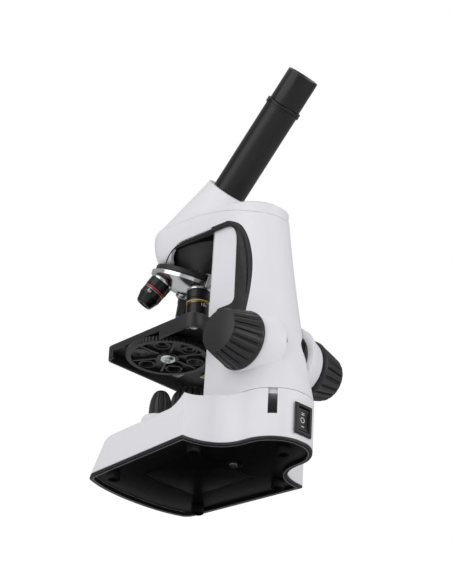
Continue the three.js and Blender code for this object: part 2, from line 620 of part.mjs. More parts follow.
// Everything above the seam between arm and head cover, which falls towards the back.
function aboveSeam(offset) {
  const shape = new THREE.Shape();
  shape.moveTo(-80, SEAM_FRONT_Z + offset);
  shape.lineTo(6, SEAM_FRONT_Z + offset);
  shape.splineThru([[20, 177], [40, 173], [60, 168], [72, 165.4]].map(([y, z]) =>
    new THREE.Vector2(y, z + offset)));
  shape.lineTo(120, 155 + offset);
  shape.lineTo(120, 240);
  shape.lineTo(-80, 240);
  return across(shape, -60, 60, 3);
}

// Room for the turret and its plate, square to the turret's axis.
function turretRoom() {
  const room = new THREE.CylinderGeometry(TURRET_R + 1.3, TURRET_R + 1.3, 30, 28);
  room.rotateX(Math.PI / 2);
  room.translate(0, 0, plateTopAt() + 0.5 - 15);
  room.applyMatrix4(new THREE.Matrix4().makeRotationX(-rad(TURRET_TILT)));
  room.translate(0, 0, APEX_Z);
  return solid(room);
}

function armShell() {
  const boss = sign => rod([sign * 15, FOCUS_Y, FOCUS_Z], [sign * BOSS_END_X, FOCUS_Y, FOCUS_Z],
    BOSS_R + 5, BOSS_R, 24);
  const bushHole = rod([-40, FOCUS_Y, FOCUS_Z], [40, FOCUS_Y, FOCUS_Z], 5 + GAP, 5 + GAP, 20);
  const bossRoom = rod([-19, FOCUS_Y, FOCUS_Z], [19, FOCUS_Y, FOCUS_Z], BOSS_R + 1, BOSS_R + 1, 20);
  return cut(union(armBody(0), boss(1), boss(-1)), armBody(WALL), bossRoom, bushHole,
    across(openingSpace(), -60, 60, 4), aboveSeam(-0.1), turretRoom());
}

function armLiner() {
  const width = COLUMN_TOP_HALF - 0.4;
  const inside = COLUMN_TOP_HALF - WALL - 1;
  const front = new THREE.Shape();
  front.moveTo(BLOCK_FRONT, SEAM_Z - 8);
  front.lineTo(90, SEAM_Z - 8);
  front.lineTo(90, OPENING_TOP_Z + 5);
  front.lineTo(-40, OPENING_TOP_Z + 5);
  front.lineTo(-40, HEAD_BOTTOM_Z + 3);
  front.lineTo(NOSE_Y, HEAD_BOTTOM_Z + 3);
  front.quadraticCurveTo(NOSE_Y + 1.5, OPENING_TOP_Z - 3, -1, OPENING_TOP_Z - 3);
  front.lineTo(LINER_FRONT - 12, OPENING_TOP_Z - 3);
  front.quadraticCurveTo(LINER_FRONT, OPENING_TOP_Z - 4, LINER_FRONT, OPENING_TOP_Z - 18);
  front.lineTo(LINER_FRONT, BLOCK_TOP_Z + 5);
  front.quadraticCurveTo(LINER_FRONT, BLOCK_TOP_Z, LINER_FRONT - 5, BLOCK_TOP_Z);
  front.lineTo(BLOCK_FRONT + 3, BLOCK_TOP_Z);
  front.quadraticCurveTo(BLOCK_FRONT, BLOCK_TOP_Z, BLOCK_FRONT, BLOCK_TOP_Z - 4);
  const showing = across(openingSpace(-0.5), -width, width, 4);
  const tucked = across(openingSpace(2.5), -inside, inside, 4);
  const room = union(showing.intersect(armBody(0.4, SEAM_Z - 12)),
    tucked.intersect(armBody(WALL + GAP, SEAM_Z - 12)));
  const noseOnly = armBody(WALL + GAP).intersect(block([-40, -60, 100], [40, 4, 200]));
  const body = across(front, -40, 40).intersect(union(
    room.intersect(block([-40, NOSE_Y, 20], [40, 90, 200])), noseOnly));
  const flare = liftedDeck();
  const pocketHalf = FUNNEL_HALF + 1;
  const pocket = upward(asShape([...Array.from({ length: 13 }, (_, i) => {
    const turn = Math.PI + Math.PI * i / 12;
    return new THREE.Vector2(pocketHalf * Math.cos(turn), -11 + pocketHalf * Math.sin(turn));
  }), new THREE.Vector2(pocketHalf, 46), new THREE.Vector2(-pocketHalf, 46)]), 140, OPENING_TOP_Z + 2);
  const lightPath = upward(asShape([...circle(9, 0, 0, 24)]), 150, 190);
  const mechanism = block([-14.5, BLOCK_FRONT + 3, SEAM_Z + 4], [14.5, 120, BLOCK_TOP_Z - 3]);
  const slot = block([-SLOT_HALF, BLOCK_FRONT - 5, CARRIAGE_BOTTOM_Z - STAGE_DROP - 1],
    [SLOT_HALF, BLOCK_FRONT + 6, SLIDER_TOP_Z + STAGE_LIFT + 1]);
  const shaftRoom = rod([-40, FOCUS_Y, FOCUS_Z], [40, FOCUS_Y, FOCUS_Z], 8, 8, 24);
  const lampAxis = new THREE.Vector3(0, Math.cos(rad(LAMP_TILT)), Math.sin(rad(LAMP_TILT)));
  const lampPoint = distance => lampAxis.clone().multiplyScalar(distance)
    .add(new THREE.Vector3(0, LAMP_Y, LAMP_Z)).toArray();
  const lampSeat = rod(lampPoint(LAMP_LENGTH - 8), lampPoint(LAMP_LENGTH + GAP), LAMP_BACK_R + 2.6,
    LAMP_BACK_R + GAP, 20);
  const backRoom = block([-inside + 2, LINER_FRONT + 3, SEAM_Z - 10], [inside - 2, 120, OPENING_TOP_Z - 8]);
  return cut(body, flare, pocket, lightPath, mechanism, slot, shaftRoom, lampSeat, backRoom, turretRoom());
}

// The base's top and the space under it, lifted by the fitting gap.
function liftedDeck() {
  return across(deckProfile(GAP), -60, 60);
}

function buildArm() {
  piece('arm_shell', armShell(), WHITE);
  piece('arm_liner', armLiner(), BLACK);
}

// ---------------------------------------------------------------- head cover and tube
const tubeDirection = new THREE.Vector3(0, Math.cos(rad(TUBE_ANGLE)), Math.sin(rad(TUBE_ANGLE)));

function alongTube(distance) {
  return tubeDirection.clone().multiplyScalar(distance).add(new THREE.Vector3(0, 0, TUBE_ORIGIN_Z));
}

function tubeRod(from, to, r0, r1 = r0, sides = 32) {
  return rod(alongTube(from).toArray(), alongTube(to).toArray(), r0, r1, sides);
}

// The cone from the head's rim up to the round collar; both rings have matching points.
function collarCone(shrink, reach) {
  const count = 36;
  const rim = Array.from({ length: count }, (_, i) => {
    const turn = 2 * Math.PI * i / count;
    const half = COLUMN_TOP_HALF - 1.2 - shrink;
    const back = Math.sin(turn) > 0 ? 50 - shrink : half;
    return new THREE.Vector3(half * Math.cos(turn), NOSE_Y + back * Math.sin(turn),
      SEAM_FRONT_Z + (shrink ? -2 : 0.9));
  });
  const centre = alongTube(reach);
  const acrossTube = new THREE.Vector3(0, Math.sin(rad(TUBE_ANGLE)), -Math.cos(rad(TUBE_ANGLE)));
  const collar = rim.map((_, i) => {
    const turn = 2 * Math.PI * i / count;
    return centre.clone().add(new THREE.Vector3((COLLAR_R - shrink) * Math.cos(turn), 0, 0))
      .addScaledVector(acrossTube, (COLLAR_R - shrink) * Math.sin(turn));
  });
  return loft([rim, collar]);
}

function headCover() {
  const outer = union(armBody(0).intersect(aboveSeam(0.1)), collarCone(0, COLLAR_AT));
  const inner = union(armBody(WALL), collarCone(WALL + 0.2, COLLAR_AT - 6));
  const bore = tubeRod(4, COLLAR_AT + 10, TUBE_R + GAP, TUBE_R + GAP, 28);
  return cut(outer, inner, bore);
}

function buildHead() {
  piece('head_cover', headCover(), WHITE);
  const tubeEnd = RING_AT + RING_WIDTH;
  const tube = cut(union(tubeRod(TUBE_START, tubeEnd, TUBE_R, TUBE_R, 24),
    tubeRod(RING_AT, tubeEnd, RING_R, RING_R, 24)),
  tubeRod(TUBE_START - 3, tubeEnd + 3, TUBE_BORE_R, TUBE_BORE_R, 24));
  piece('eyepiece_tube', tube, GLOSS_BLACK);
  const top = tubeEnd + EYEPIECE_HEIGHT;
  const barrel = cut(union(
    tubeRod(tubeEnd + GAP, top - 0.6, EYEPIECE_R, EYEPIECE_R, 24),
    tubeRod(top - 0.6, top, EYEPIECE_R, EYEPIECE_R - 0.6, 24),
    tubeRod(tubeEnd - EYEPIECE_INSERT, tubeEnd + 2, TUBE_BORE_R - RUN, TUBE_BORE_R - RUN, 24)),
  tubeRod(tubeEnd - EYEPIECE_INSERT - 2, top - 4, TUBE_BORE_R - RUN - 1.3, TUBE_BORE_R - RUN - 1.3, 20),
  tubeRod(top - 5, top - 2.4, 6.5, 6.5, 20), tubeRod(top - 2.5, top + 2, 6, 9.6, 20));
  piece('eyepiece_barrel', barrel, GLOSS_BLACK);
  piece('eye_lens', tubeRod(top - 7, top - 4.2, 8 - GAP, 8 - GAP, 28), GLASS);
  piece('field_lens', tubeRod(tubeEnd - EYEPIECE_INSERT + 3, tubeEnd - EYEPIECE_INSERT + 6, 8 - GAP,
    8 - GAP, 28), GLASS);
  const wedge = new THREE.Shape();
  wedge.moveTo(-9, TUBE_ORIGIN_Z - 6);
  wedge.lineTo(8, TUBE_ORIGIN_Z - 6);
  wedge.lineTo(8.5, TUBE_ORIGIN_Z - 1);
  wedge.lineTo(-3.5, TUBE_ORIGIN_Z + 11);
  wedge.lineTo(-9, TUBE_ORIGIN_Z + 6);
  piece('image_prism', across(wedge, -8, 8), GLASS);
}

// ---------------------------------------------------------------- nosepiece
const nose = new THREE.Group();
nose.position.set(0, 0, APEX_Z);
nose.rotation.x = -rad(TURRET_TILT);

// Unit vector of an objective's axis in the turret's own frame.
function seatDirection(turn) {
  const side = Math.sin(rad(TURRET_TILT));
  const around = rad(90 + turn);
  return new THREE.Vector3(side * Math.cos(around), side * Math.sin(around), -Math.cos(rad(TURRET_TILT)));
}

function seatRod(turn, from, to, r0, r1 = r0, sides = 24) {
  const direction = seatDirection(turn);
  return rod(direction.clone().multiplyScalar(from).toArray(),
    direction.clone().multiplyScalar(to).toArray(), r0, r1, sides);
}

function dome(radius, reach, topZ) {
  const limit = Math.asin(reach / radius);
  const arc = Array.from({ length: 5 }, (_, i) => {
    const turn = limit * i / 4;
    return [radius * Math.sin(turn), -radius * Math.cos(turn)];
  });
  return turned([...arc, [reach, topZ], [0, topZ]], 28);
}

// Lower edge of the turret's rim and upper face of its plate, in the turret's own frame.
const rimAt = () => -DOME_R * Math.cos(Math.asin(TURRET_R / DOME_R));
const plateTopAt = () => rimAt() + TURRET_RIM + 0.5 + PLATE_THICK;

function turretBody() {
  const rimZ = rimAt();
  const shell = cut(dome(DOME_R, TURRET_R, rimZ + TURRET_RIM), dome(DOME_R - DOME_WALL, TURRET_R - 2, rimZ + 9));
  const seats = OBJECTIVES.map(({ turn }) => seatRod(turn, DOME_R - 3.6, DOME_R + SEAT_HEIGHT,
    OBJECTIVE_R + 0.1, OBJECTIVE_R + 0.1, 20));
  const holes = OBJECTIVES.map(({ turn }) => seatRod(turn, DOME_R - 12, DOME_R + 6, 5.6 + GAP, 5.6 + GAP, 14));
  const hub = rod([0, 0, -DOME_R + 1], [0, 0, rimZ + 1], 5, 5, 20);
  const pivot = rod([0, 0, -DOME_R - 5], [0, 0, 0], 2 + RUN, 2 + RUN, 16);
  return cut(union(shell, hub, ...seats), ...holes, pivot);
}

function buildObjective({ name, turn, length, taperFrom, tipR, aperture }) {
  const seat = DOME_R + SEAT_HEIGHT + GAP;
  const holder = new THREE.Group();
  holder.quaternion.setFromUnitVectors(new THREE.Vector3(0, 0, 1), seatDirection(turn));
  nose.add(holder);
  const r = OBJECTIVE_R;
  const end = seat + length;
  const body = turned([
    [aperture, seat - 4], [5.6, seat - 4], [5.6, seat], [r, seat], [r, seat + 5.6], [r - 0.4, seat + 6],
    [r - 0.4, seat + length * taperFrom], [tipR + 0.3, end - 0.8], [tipR, end], [aperture, end],
    [aperture, seat - 4],
  ], 20);
  piece(`objective_${name}`, body, GLOSS_BLACK, holder);
  const lens = turned([[0, end - 2], [aperture - 0.15, end - 2],
    [aperture - 0.15, end - 0.8], [0, end - 0.5]], 20);
  piece(`objective_${name}_lens`, lens, GLASS, holder);
}

function buildNosepiece() {
  microscope.add(nose);
  const rimZ = rimAt();
  piece('turret', turretBody(), CHROME, nose);
  for (const objective of OBJECTIVES) buildObjective(objective);
  const plateTop = plateTopAt();
  const plateBottom = plateTop - PLATE_THICK;
  const lightHole = seatRod(0, 20, DOME_R + 3, 6.5, 6.5, 24);
  const pivotHole = rod([0, 0, -60], [0, 0, 0], 2 + GAP, 2 + GAP, 16);
  piece('nosepiece_plate', cut(union(
    turned([[0, plateBottom], [PLATE_R, plateBottom], [PLATE_R, plateTop - 1.2],
      [PLATE_R - 1.2, plateTop], [0, plateTop]], 28),
    rod([0, 0, rimZ + 1.5], [0, 0, plateTop], 5.5, 5.5, 20)), lightHole, pivotHole), BLACK, nose);
  const screw = piece('turret_pivot_screw', crossScrew(4.2, 2.4, 2, 12), STEEL, nose);
  screw.position.z = -DOME_R - 2.4 - GAP;
  piece('nosepiece_funnel', funnel(plateTop), BLACK);
  piece('turret_detent_spring', detentSpring(plateTop, rimZ), STEEL, nose);
}

// The funnel runs from the long recess under the head down to the tilted plate.
function funnel(plateTop) {
  const count = 28;
  const rim = z => Array.from({ length: count }, (_, i) => {
    const turn = 2 * Math.PI * i / count;
    return new THREE.Vector3(FUNNEL_HALF * Math.cos(turn), 1 + FUNNEL_REACH * Math.sin(turn), z);
  });
  const low = z => at(circle(FUNNEL_R, 0, 1, count), z);
  const under = new THREE.CylinderGeometry(60, 60, 40, 24);
  under.rotateX(Math.PI / 2);
  under.translate(0, 0, plateTop + GAP - 20);
  under.applyMatrix4(new THREE.Matrix4().makeRotationX(-rad(TURRET_TILT)));
  under.translate(0, 0, APEX_Z);
  const bore = rod([0, 0, 130], [0, 0, 180], FUNNEL_R - 2.4, FUNNEL_R - 2.4, 24);
  return cut(loft([low(138), low(FUNNEL_NECK_Z), rim(OPENING_TOP_Z - 2.6), rim(OPENING_TOP_Z + 2 - GAP)]),
    solid(under), bore);
}

// A springy strip fixed to the plate's rear edge, bent down past the turret's rim.
function detentSpring(plateTop, rimZ) {
  const y0 = PLATE_R - 0.8;
  const bent = new THREE.Shape();
  bent.moveTo(y0, plateTop + GAP);
  bent.lineTo(TURRET_R + 0.5, plateTop + GAP);
  bent.lineTo(TURRET_R + 0.5, rimZ - 1);
  bent.lineTo(TURRET_R + 1.3, rimZ - 1);
  bent.lineTo(TURRET_R + 1.3, plateTop + GAP + 0.8);
  bent.lineTo(y0, plateTop + GAP + 0.8);
  const holes = [rimZ + 1, rimZ + 4, rimZ + 6.6].map(z =>
    rod([0, 0, z], [0, 40, z], 0.8, 0.8, 10));
  return cut(across(bent, -3.6, 3.6), ...holes);
}

// ---------------------------------------------------------------- stage
const stage = new THREE.Group();

function stagePlan(edge) {
  const half = STAGE_HALF - edge;
  const frontHalf = STAGE_FRONT_HALF - edge;
  const front = STAGE_FRONT + edge;
  const rear = STAGE_REAR - edge;
  const r = 5 - Math.min(edge, 3);
  const shape = new THREE.Shape();
  shape.moveTo(frontHalf - r, front);
  shape.quadraticCurveTo(frontHalf, front, frontHalf + 0.1, front + r);
  shape.lineTo(half, rear - r * 1.5);
  shape.quadraticCurveTo(half, rear, half - r * 1.5, rear);
  shape.lineTo(BLOCK_HALF + 3.6 + edge, rear);
  shape.lineTo(BLOCK_HALF + 3.6 + edge, BLOCK_FRONT - 4.5 - edge);
  const right = shape.getPoints(4);
  return [...right, ...right.map(p => new THREE.Vector2(-p.x, p.y)).reverse()];
}

function stagePlate() {
  const bottom = STAGE_TOP_Z - STAGE_FLANGE;
  const outer = loft([at(stagePlan(0), bottom), at(stagePlan(0), STAGE_TOP_Z - 0.7),
    at(stagePlan(0.7), STAGE_TOP_Z)]);
  const hollow = loft([at(stagePlan(FLANGE_WALL), bottom - 2),
    at(stagePlan(FLANGE_WALL), STAGE_TOP_Z - STAGE_PLATE)]);
  const hub = rod([WHEEL_X, WHEEL_Y, WHEEL_BOTTOM_Z + WHEEL_THICK + 0.5],
    [WHEEL_X, WHEEL_Y, STAGE_TOP_Z - 1], 4.5, 4.5, 20);
  const aperture = rod([0, 0, 60], [0, 0, 120], STAGE_APERTURE_R, STAGE_APERTURE_R, 28);
  const screwHole = rod([WHEEL_X, WHEEL_Y, 60], [WHEEL_X, WHEEL_Y, STAGE_TOP_Z - 1.4], 1.9, 1.9, 12);
  const clipHoles = [-1, 1].map(sign => rod([sign * 33, 26, 60], [sign * 33, 26, 120], 1.9, 1.9, 12));
  const gate = block([STAGE_FRONT_HALF - 4, WHEEL_GATE[0], bottom - 1],
    [STAGE_HALF + 1, WHEEL_GATE[1], WHEEL_BOTTOM_Z + WHEEL_THICK + 0.6]);
  return cut(union(cut(outer, hollow), hub), aperture, screwHole, gate, ...clipHoles);
}

function stageCarriage() {
  const plateY = BLOCK_FRONT - 4.2;
  const bracket = block([-13, plateY, CARRIAGE_BOTTOM_Z], [13, BLOCK_FRONT - 0.6, STAGE_TOP_Z - GAP]);
  const tongue = block([-SLOT_HALF + 0.5, plateY + 1, CARRIAGE_BOTTOM_Z],
    [SLOT_HALF - 0.5, BLOCK_FRONT + 7, SLIDER_TOP_Z]);
  const slider = block([-13.5, BLOCK_FRONT + 3.6, CARRIAGE_BOTTOM_Z], [13.5, RACK_BACK_Y, SLIDER_TOP_Z]);
  const rodHoles = [-1, 1].map(sign => rod([sign * ROD_X, ROD_Y, 0], [sign * ROD_X, ROD_Y, 200],
    ROD_R + RUN, ROD_R + RUN, 16));
  return cut(union(bracket, tongue, slider), ...rodHoles);
}

// Straight rack and round pinion share one tooth size; the flanks are straight lines.
function rackTeeth() {
  const pitch = Math.PI * TOOTH_MODULE;
  const pitchY = FOCUS_Y - PINION_TEETH * TOOTH_MODULE / 2;
  const root = pitchY - 1.25 * TOOTH_MODULE - RACK_FACE_PLAY;
  const tip = pitchY + 0.8 * TOOTH_MODULE - RACK_FACE_PLAY;
  const backY = RACK_BACK_Y + GAP;
  const below = Math.floor((STAGE_LIFT + 4) / pitch);
  const above = Math.ceil((STAGE_DROP + 1) / pitch);
  const first = FOCUS_Z + pitch / 2 - below * pitch;
  const last = FOCUS_Z + pitch / 2 + above * pitch;
  const shape = new THREE.Shape();
  shape.moveTo(backY, first - pitch * 0.6);
  shape.lineTo(root, first - pitch * 0.6);
  for (let z = first; z < last - pitch / 2; z += pitch) {
    shape.lineTo(root, z - pitch * 0.36);
    shape.lineTo(tip, z - pitch * 0.13);
    shape.lineTo(tip, z + pitch * 0.13);
    shape.lineTo(root, z + pitch * 0.36);
  }
  shape.lineTo(root, last);
  shape.lineTo(backY, last);
  return across(shape, -4, 4);
}

function pinion() {
  const pitchR = PINION_TEETH * TOOTH_MODULE / 2;
  const points = [];
  for (let i = 0; i < PINION_TEETH; i += 1) {
    const centre = 2 * Math.PI * i / PINION_TEETH + Math.PI;
    const step = 2 * Math.PI / PINION_TEETH;
    for (const [share, r] of [[-0.34, pitchR - TOOTH_MODULE], [-0.11, pitchR + 0.7 * TOOTH_MODULE],
      [0.11, pitchR + 0.7 * TOOTH_MODULE], [0.34, pitchR - TOOTH_MODULE]]) {
      points.push(new THREE.Vector2(r * Math.cos(centre + share * step), r * Math.sin(centre + share * step)));
    }
  }
  const gear = across(asShape(points), -6, 6);
  return cut(gear, rod([-20, 0, 0], [20, 0, 0], SHAFT_R + GAP, SHAFT_R + GAP, 16))
    .translate([0, FOCUS_Y, FOCUS_Z]);
}

function filterWheel() {
  const disc = upward(asShape(ribbed(WHEEL_R, 0.6, WHEEL_TEETH, 0.5)), 0, WHEEL_THICK);
  const dish = turned([[7, -1], [WHEEL_R - 3.4, -1], [WHEEL_R - 3.4, 2.4], [7, 2.4], [7, -1]], 30);
  const reach = Math.hypot(WHEEL_X, WHEEL_Y);
  const start = Math.atan2(-WHEEL_Y, -WHEEL_X);
  const turnOf = i => start + 2 * Math.PI * i / 6;
  const upright = (i, z0, z1, r) => {
    const x = reach * Math.cos(turnOf(i));
    const y = reach * Math.sin(turnOf(i));
    return rod([x, y, z0], [x, y, z1], r, r, 14);
  };
  const places = [0, 1, 2, 3, 4, 5];
  const cups = places.map(i => upright(i, 0.8, WHEEL_THICK - 0.6, POCKET_R + 1));
  const spokes = places.map(i => {
    const arm = new THREE.BoxGeometry(WHEEL_R - 4, 1.6, 2.2);
    arm.translate((WHEEL_R - 4) / 2 + 2, 0, 1.7);
    arm.rotateZ(turnOf(i + 0.5));
    return solid(arm);
  });
  const holes = places.map(i => upright(i, -1, WHEEL_THICK + 1, POCKET_R - 0.5 * i));
  const hubHole = rod([0, 0, -1], [0, 0, 9], 1.9 + RUN, 1.9 + RUN, 16);
  return cut(union(cut(disc, dish), ...cups, ...spokes), ...holes, hubHole);
}

function stageClip(sign) {
  const shape = new THREE.Shape();
  shape.moveTo(-4, -3);
  shape.quadraticCurveTo(-4, 4.4, 0, 4.4);
  shape.quadraticCurveTo(4, 4.4, 4, -3);
  shape.lineTo(2.6, -44);
  shape.quadraticCurveTo(0, -47, -2.6, -44);
  const hole = rod([0, 0, -1], [0, 0, 2], 1.6 + RUN, 1.6 + RUN, 14);
  const clip = cut(upward(asShape(shape.getPoints(4)), 0, 0.8), hole);
  return clip.rotate([0, 0, sign * -20]).translate([sign * 33, 26, STAGE_TOP_Z + 0.4]);
}

function buildStage() {
  microscope.add(stage);
  piece('stage_plate', stagePlate(), BLACK, stage);
  piece('stage_carriage', stageCarriage(), BLACK, stage);
  piece('focus_rack', rackTeeth(), BLACK, stage);
  const wheel = piece('filter_wheel', filterWheel(), BLACK, stage);
  wheel.position.set(WHEEL_X, WHEEL_Y, WHEEL_BOTTOM_Z);
  const wheelScrew = piece('filter_wheel_screw', crossScrew(5.2, 2, 1.6, 7.6), ZINC, stage);
  wheelScrew.position.set(WHEEL_X, WHEEL_Y, WHEEL_BOTTOM_Z - 2 - GAP);
  const strip = new THREE.Shape([[-30, 25], [-30, 29], [12, 21.9 + 2.6], [12, 19]].map(([x, y]) =>
    new THREE.Vector2(x, y)));
  piece('wheel_detent_spring', upward(strip, STAGE_TOP_Z - STAGE_PLATE - 1.6, STAGE_TOP_Z - STAGE_PLATE - 1),
    BRASS, stage);
  for (const [side, sign] of [['right', 1], ['left', -1]]) {
    piece(`stage_clip_${side}`, stageClip(sign), STEEL, stage);
    const screw = turned([[0, 0], [2.6, 0], [2.6, 1.4], [1.6, 1.4], [1.6, 4.2], [0, 4.2]], 16)
      .rotate([180, 0, 0]);
    const post = union(screw.translate([sign * 33, 26, STAGE_TOP_Z + 0.4 + 0.8 + GAP + 1.4]),
      rod([sign * 33, 26, STAGE_TOP_Z - STAGE_PLATE - 1.6], [sign * 33, 26, STAGE_TOP_Z], 1.5, 1.5, 14));
    piece(`clip_screw_${side}`, post, STEEL, stage);
  }
}

// ---------------------------------------------------------------- focus drive
function focusKnob(sign) {
  const inner = KNOB_FACE_X - KNOB_LENGTH;
  const body = loft([
    at(ribbed(KNOB_R - 0.6, 0.01, KNOB_RIBS), inner), at(ribbed(KNOB_R, 0.01, KNOB_RIBS), inner + 1),
    at(ribbed(KNOB_R, 0.01, KNOB_RIBS), inner + 2.4), at(ribbed(KNOB_R - 0.2, 1, KNOB_RIBS), inner + 3.6),
    at(ribbed(KNOB_FACE_R + 0.9, 1, KNOB_RIBS), KNOB_FACE_X - 1.4),
    at(ribbed(KNOB_FACE_R, 0.4, KNOB_RIBS), KNOB_FACE_X)]);
  const bore = rod([0, 0, inner - 2], [0, 0, KNOB_FACE_X - 5], SHAFT_R + GAP, SHAFT_R + GAP, 16);
  const hollow = turned([[5.5, inner - 1], [KNOB_R - 3, inner - 1], [KNOB_FACE_R - 1.5, KNOB_FACE_X - 4],
    [5.5, KNOB_FACE_X - 4], [5.5, inner - 1]], 16);
  return cut(body, bore, hollow).rotate([0, sign * 90, 0]).translate([0, FOCUS_Y, FOCUS_Z]);
}

function buildFocus() {
  piece('focus_shaft', rod([-KNOB_FACE_X + 5.5, FOCUS_Y, FOCUS_Z], [KNOB_FACE_X - 5.5, FOCUS_Y, FOCUS_Z],
    SHAFT_R, SHAFT_R, 16), STEEL);
  piece('focus_pinion', pinion(), BRASS);
  for (const [side, sign] of [['right', 1], ['left', -1]]) {
    piece(`focus_knob_${side}`, focusKnob(sign), BLACK);
    const near = sign * (BOSS_END_X - 0.1);
    const bush = cut(rod([sign * 12, FOCUS_Y, FOCUS_Z], [near, FOCUS_Y, FOCUS_Z], 5, 5, 24),
      rod([-60, FOCUS_Y, FOCUS_Z], [60, FOCUS_Y, FOCUS_Z], SHAFT_R + RUN, SHAFT_R + RUN, 16));
    piece(`shaft_bush_${side}`, bush, BRASS);
    piece(`guide_rod_${side}`, rod([sign * ROD_X, ROD_Y, SEAM_Z + 4 + GAP],
      [sign * ROD_X, ROD_Y, BLOCK_TOP_Z - 3 - GAP], ROD_R, ROD_R, 12), STEEL);
  }
}

buildBase();
buildIlluminator();
buildDimmer();
buildSwitch();
buildArm();
buildHead();
buildIncidentLamp();
buildNosepiece();
buildStage();
buildFocus();

microscope.position.y = -(LOBE_BACK + BEZEL - BASE_FRONT) / 2;

export default microscope;
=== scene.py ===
import json
import math

import bpy
from mathutils import Matrix, Vector


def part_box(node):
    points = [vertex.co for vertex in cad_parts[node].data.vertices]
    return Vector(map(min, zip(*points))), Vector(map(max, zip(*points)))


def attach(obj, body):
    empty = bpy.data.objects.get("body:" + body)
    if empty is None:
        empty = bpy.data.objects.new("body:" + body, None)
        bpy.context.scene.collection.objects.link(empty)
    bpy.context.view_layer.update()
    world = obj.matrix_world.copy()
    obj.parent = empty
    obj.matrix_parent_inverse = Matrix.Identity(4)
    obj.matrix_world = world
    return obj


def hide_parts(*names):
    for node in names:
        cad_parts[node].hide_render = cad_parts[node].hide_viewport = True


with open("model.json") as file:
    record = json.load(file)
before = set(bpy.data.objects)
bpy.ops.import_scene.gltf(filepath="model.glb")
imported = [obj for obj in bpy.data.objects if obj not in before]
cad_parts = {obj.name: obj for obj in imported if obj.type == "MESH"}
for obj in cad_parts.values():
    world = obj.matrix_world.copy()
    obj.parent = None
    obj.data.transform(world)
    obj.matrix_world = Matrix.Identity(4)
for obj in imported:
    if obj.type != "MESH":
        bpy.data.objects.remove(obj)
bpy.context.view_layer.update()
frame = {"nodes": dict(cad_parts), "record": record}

bl_info = {
    "name": "Student microscope",
    "version": (1, 0, 0),
    "blender": (4, 5, 0),
    "location": "View3D > Sidebar > Microscope",
    "description": "Builds the visible pieces of a student microscope over its fixed frame",
    "category": "Add Mesh",
}

# ---------------------------------------------------------------- the frame's own measures
MM = 0.001
BODY_OF = {node: body for body, nodes in frame["record"]["behaviour"]["bodies"].items() for node in nodes}


def middle(node):
    """Centre of a frame node's box, in metres."""
    low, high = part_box(node)
    return (low + high) / 2


OPTICAL_Y = middle("illuminator_housing").y
SHAFT = middle("focus_shaft")


def spot(x, y, z):
    """A point in millimetres from the foot of the optical axis, as metres in the frame."""
    return Vector((x * MM, OPTICAL_Y + y * MM, z * MM))


# ---------------------------------------------------------------- selection and meshes
def pick(*objects):
    """Select these objects and nothing else; the first is active."""
    bpy.ops.object.select_all(action="DESELECT")
    for obj in objects:
        obj.select_set(True)
    bpy.context.view_layer.objects.active = objects[0]


def editing(obj, *steps):
    """Run edit-mode steps on a whole mesh."""
    pick(obj)
    bpy.ops.object.mode_set(mode="EDIT")
    bpy.ops.mesh.select_all(action="SELECT")
    for step in steps:
        step()
    bpy.ops.object.mode_set(mode="OBJECT")
    return obj


def merge():
    bpy.ops.mesh.remove_doubles(threshold=2e-6)


def face_out():
    bpy.ops.mesh.normals_make_consistent(inside=False)


def from_points(name, points, faces=(), edges=()):
    """A mesh object from points in metres."""
    mesh = bpy.data.meshes.new(name)
    mesh.from_pydata([tuple(p) for p in points], list(edges), [tuple(f) for f in faces])
    mesh.update()
    obj = bpy.data.objects.new(name, mesh)
    bpy.context.scene.collection.objects.link(obj)
    return obj


def loft(name, rings):
    """A closed skin over rings of equal length, capped at both ends."""
    count = len(rings[0])
    points = [p for ring in rings for p in ring]
    faces = [(row * count + i, row * count + (i + 1) % count,
              (row + 1) * count + (i + 1) % count, (row + 1) * count + i)
             for row in range(len(rings) - 1) for i in range(count)]
    last = (len(rings) - 1) * count
    faces += [tuple(reversed(range(count))), tuple(range(last, last + count))]
    return editing(from_points(name, points, faces), merge, face_out)


def upright(outline, z):
    """A plan outline in millimetres, lifted to a height."""
    return [spot(x, y, z) for x, y in outline]


def across(name, side_view, x0, x1):
    """A side view in (y, z), carried across the width."""
    return loft(name, [[spot(x, y, z) for y, z in side_view] for x in (x0, x1)])


def box_between(name, low, high):
    """A box between two corners in millimetres."""
    low, high = spot(*low), spot(*high)
    bpy.ops.object.select_all(action="DESELECT")
    bpy.ops.mesh.primitive_cube_add(size=1, location=(low + high) / 2)
    obj = bpy.context.active_object
    obj.name = obj.data.name = name
    obj.scale = high - low
    bpy.ops.object.transform_apply(location=True, rotation=True, scale=True)
    return obj


def spun(name, profile, where, steps=64):
    """A profile of (radius, height) pairs in millimetres, spun about the Z axis of a place."""
    points = [Vector((r * MM, 0, h * MM)) for r, h in profile]
    edges = [(i, i + 1) for i in range(len(points) - 1)]
    if profile[0] != profile[-1] and (profile[0][0] or profile[-1][0]):
        edges.append((len(points) - 1, 0))
    obj = from_points(name, points, edges=edges)
    editing(obj, lambda: bpy.ops.mesh.spin(steps=steps, angle=2 * math.pi, center=(0, 0, 0), axis=(0, 0, 1)),
            merge, face_out)
    obj.data.transform(where)
    return obj


def rod(name, radius, low, high, where, steps):
    """A plain cylinder between two heights."""
    return spun(name, [(0, low), (radius, low), (radius, high), (0, high)], where, steps)


def at(x, y, z):
    return Matrix.Translation(spot(x, y, z))


def aim(origin, direction):
    """A place whose Z axis points along a direction."""
    return Matrix.Translation(origin) @ Vector(direction).to_track_quat("Z", "Y").to_matrix().to_4x4()


def apply(obj, kind, **settings):
    """Add a modifier, set it and apply it."""
    modifier = obj.modifiers.new(kind.title(), kind)
    for key, value in settings.items():
        setattr(modifier, key, value)
    pick(obj)
    bpy.ops.object.modifier_apply(modifier=modifier.name)
    return obj


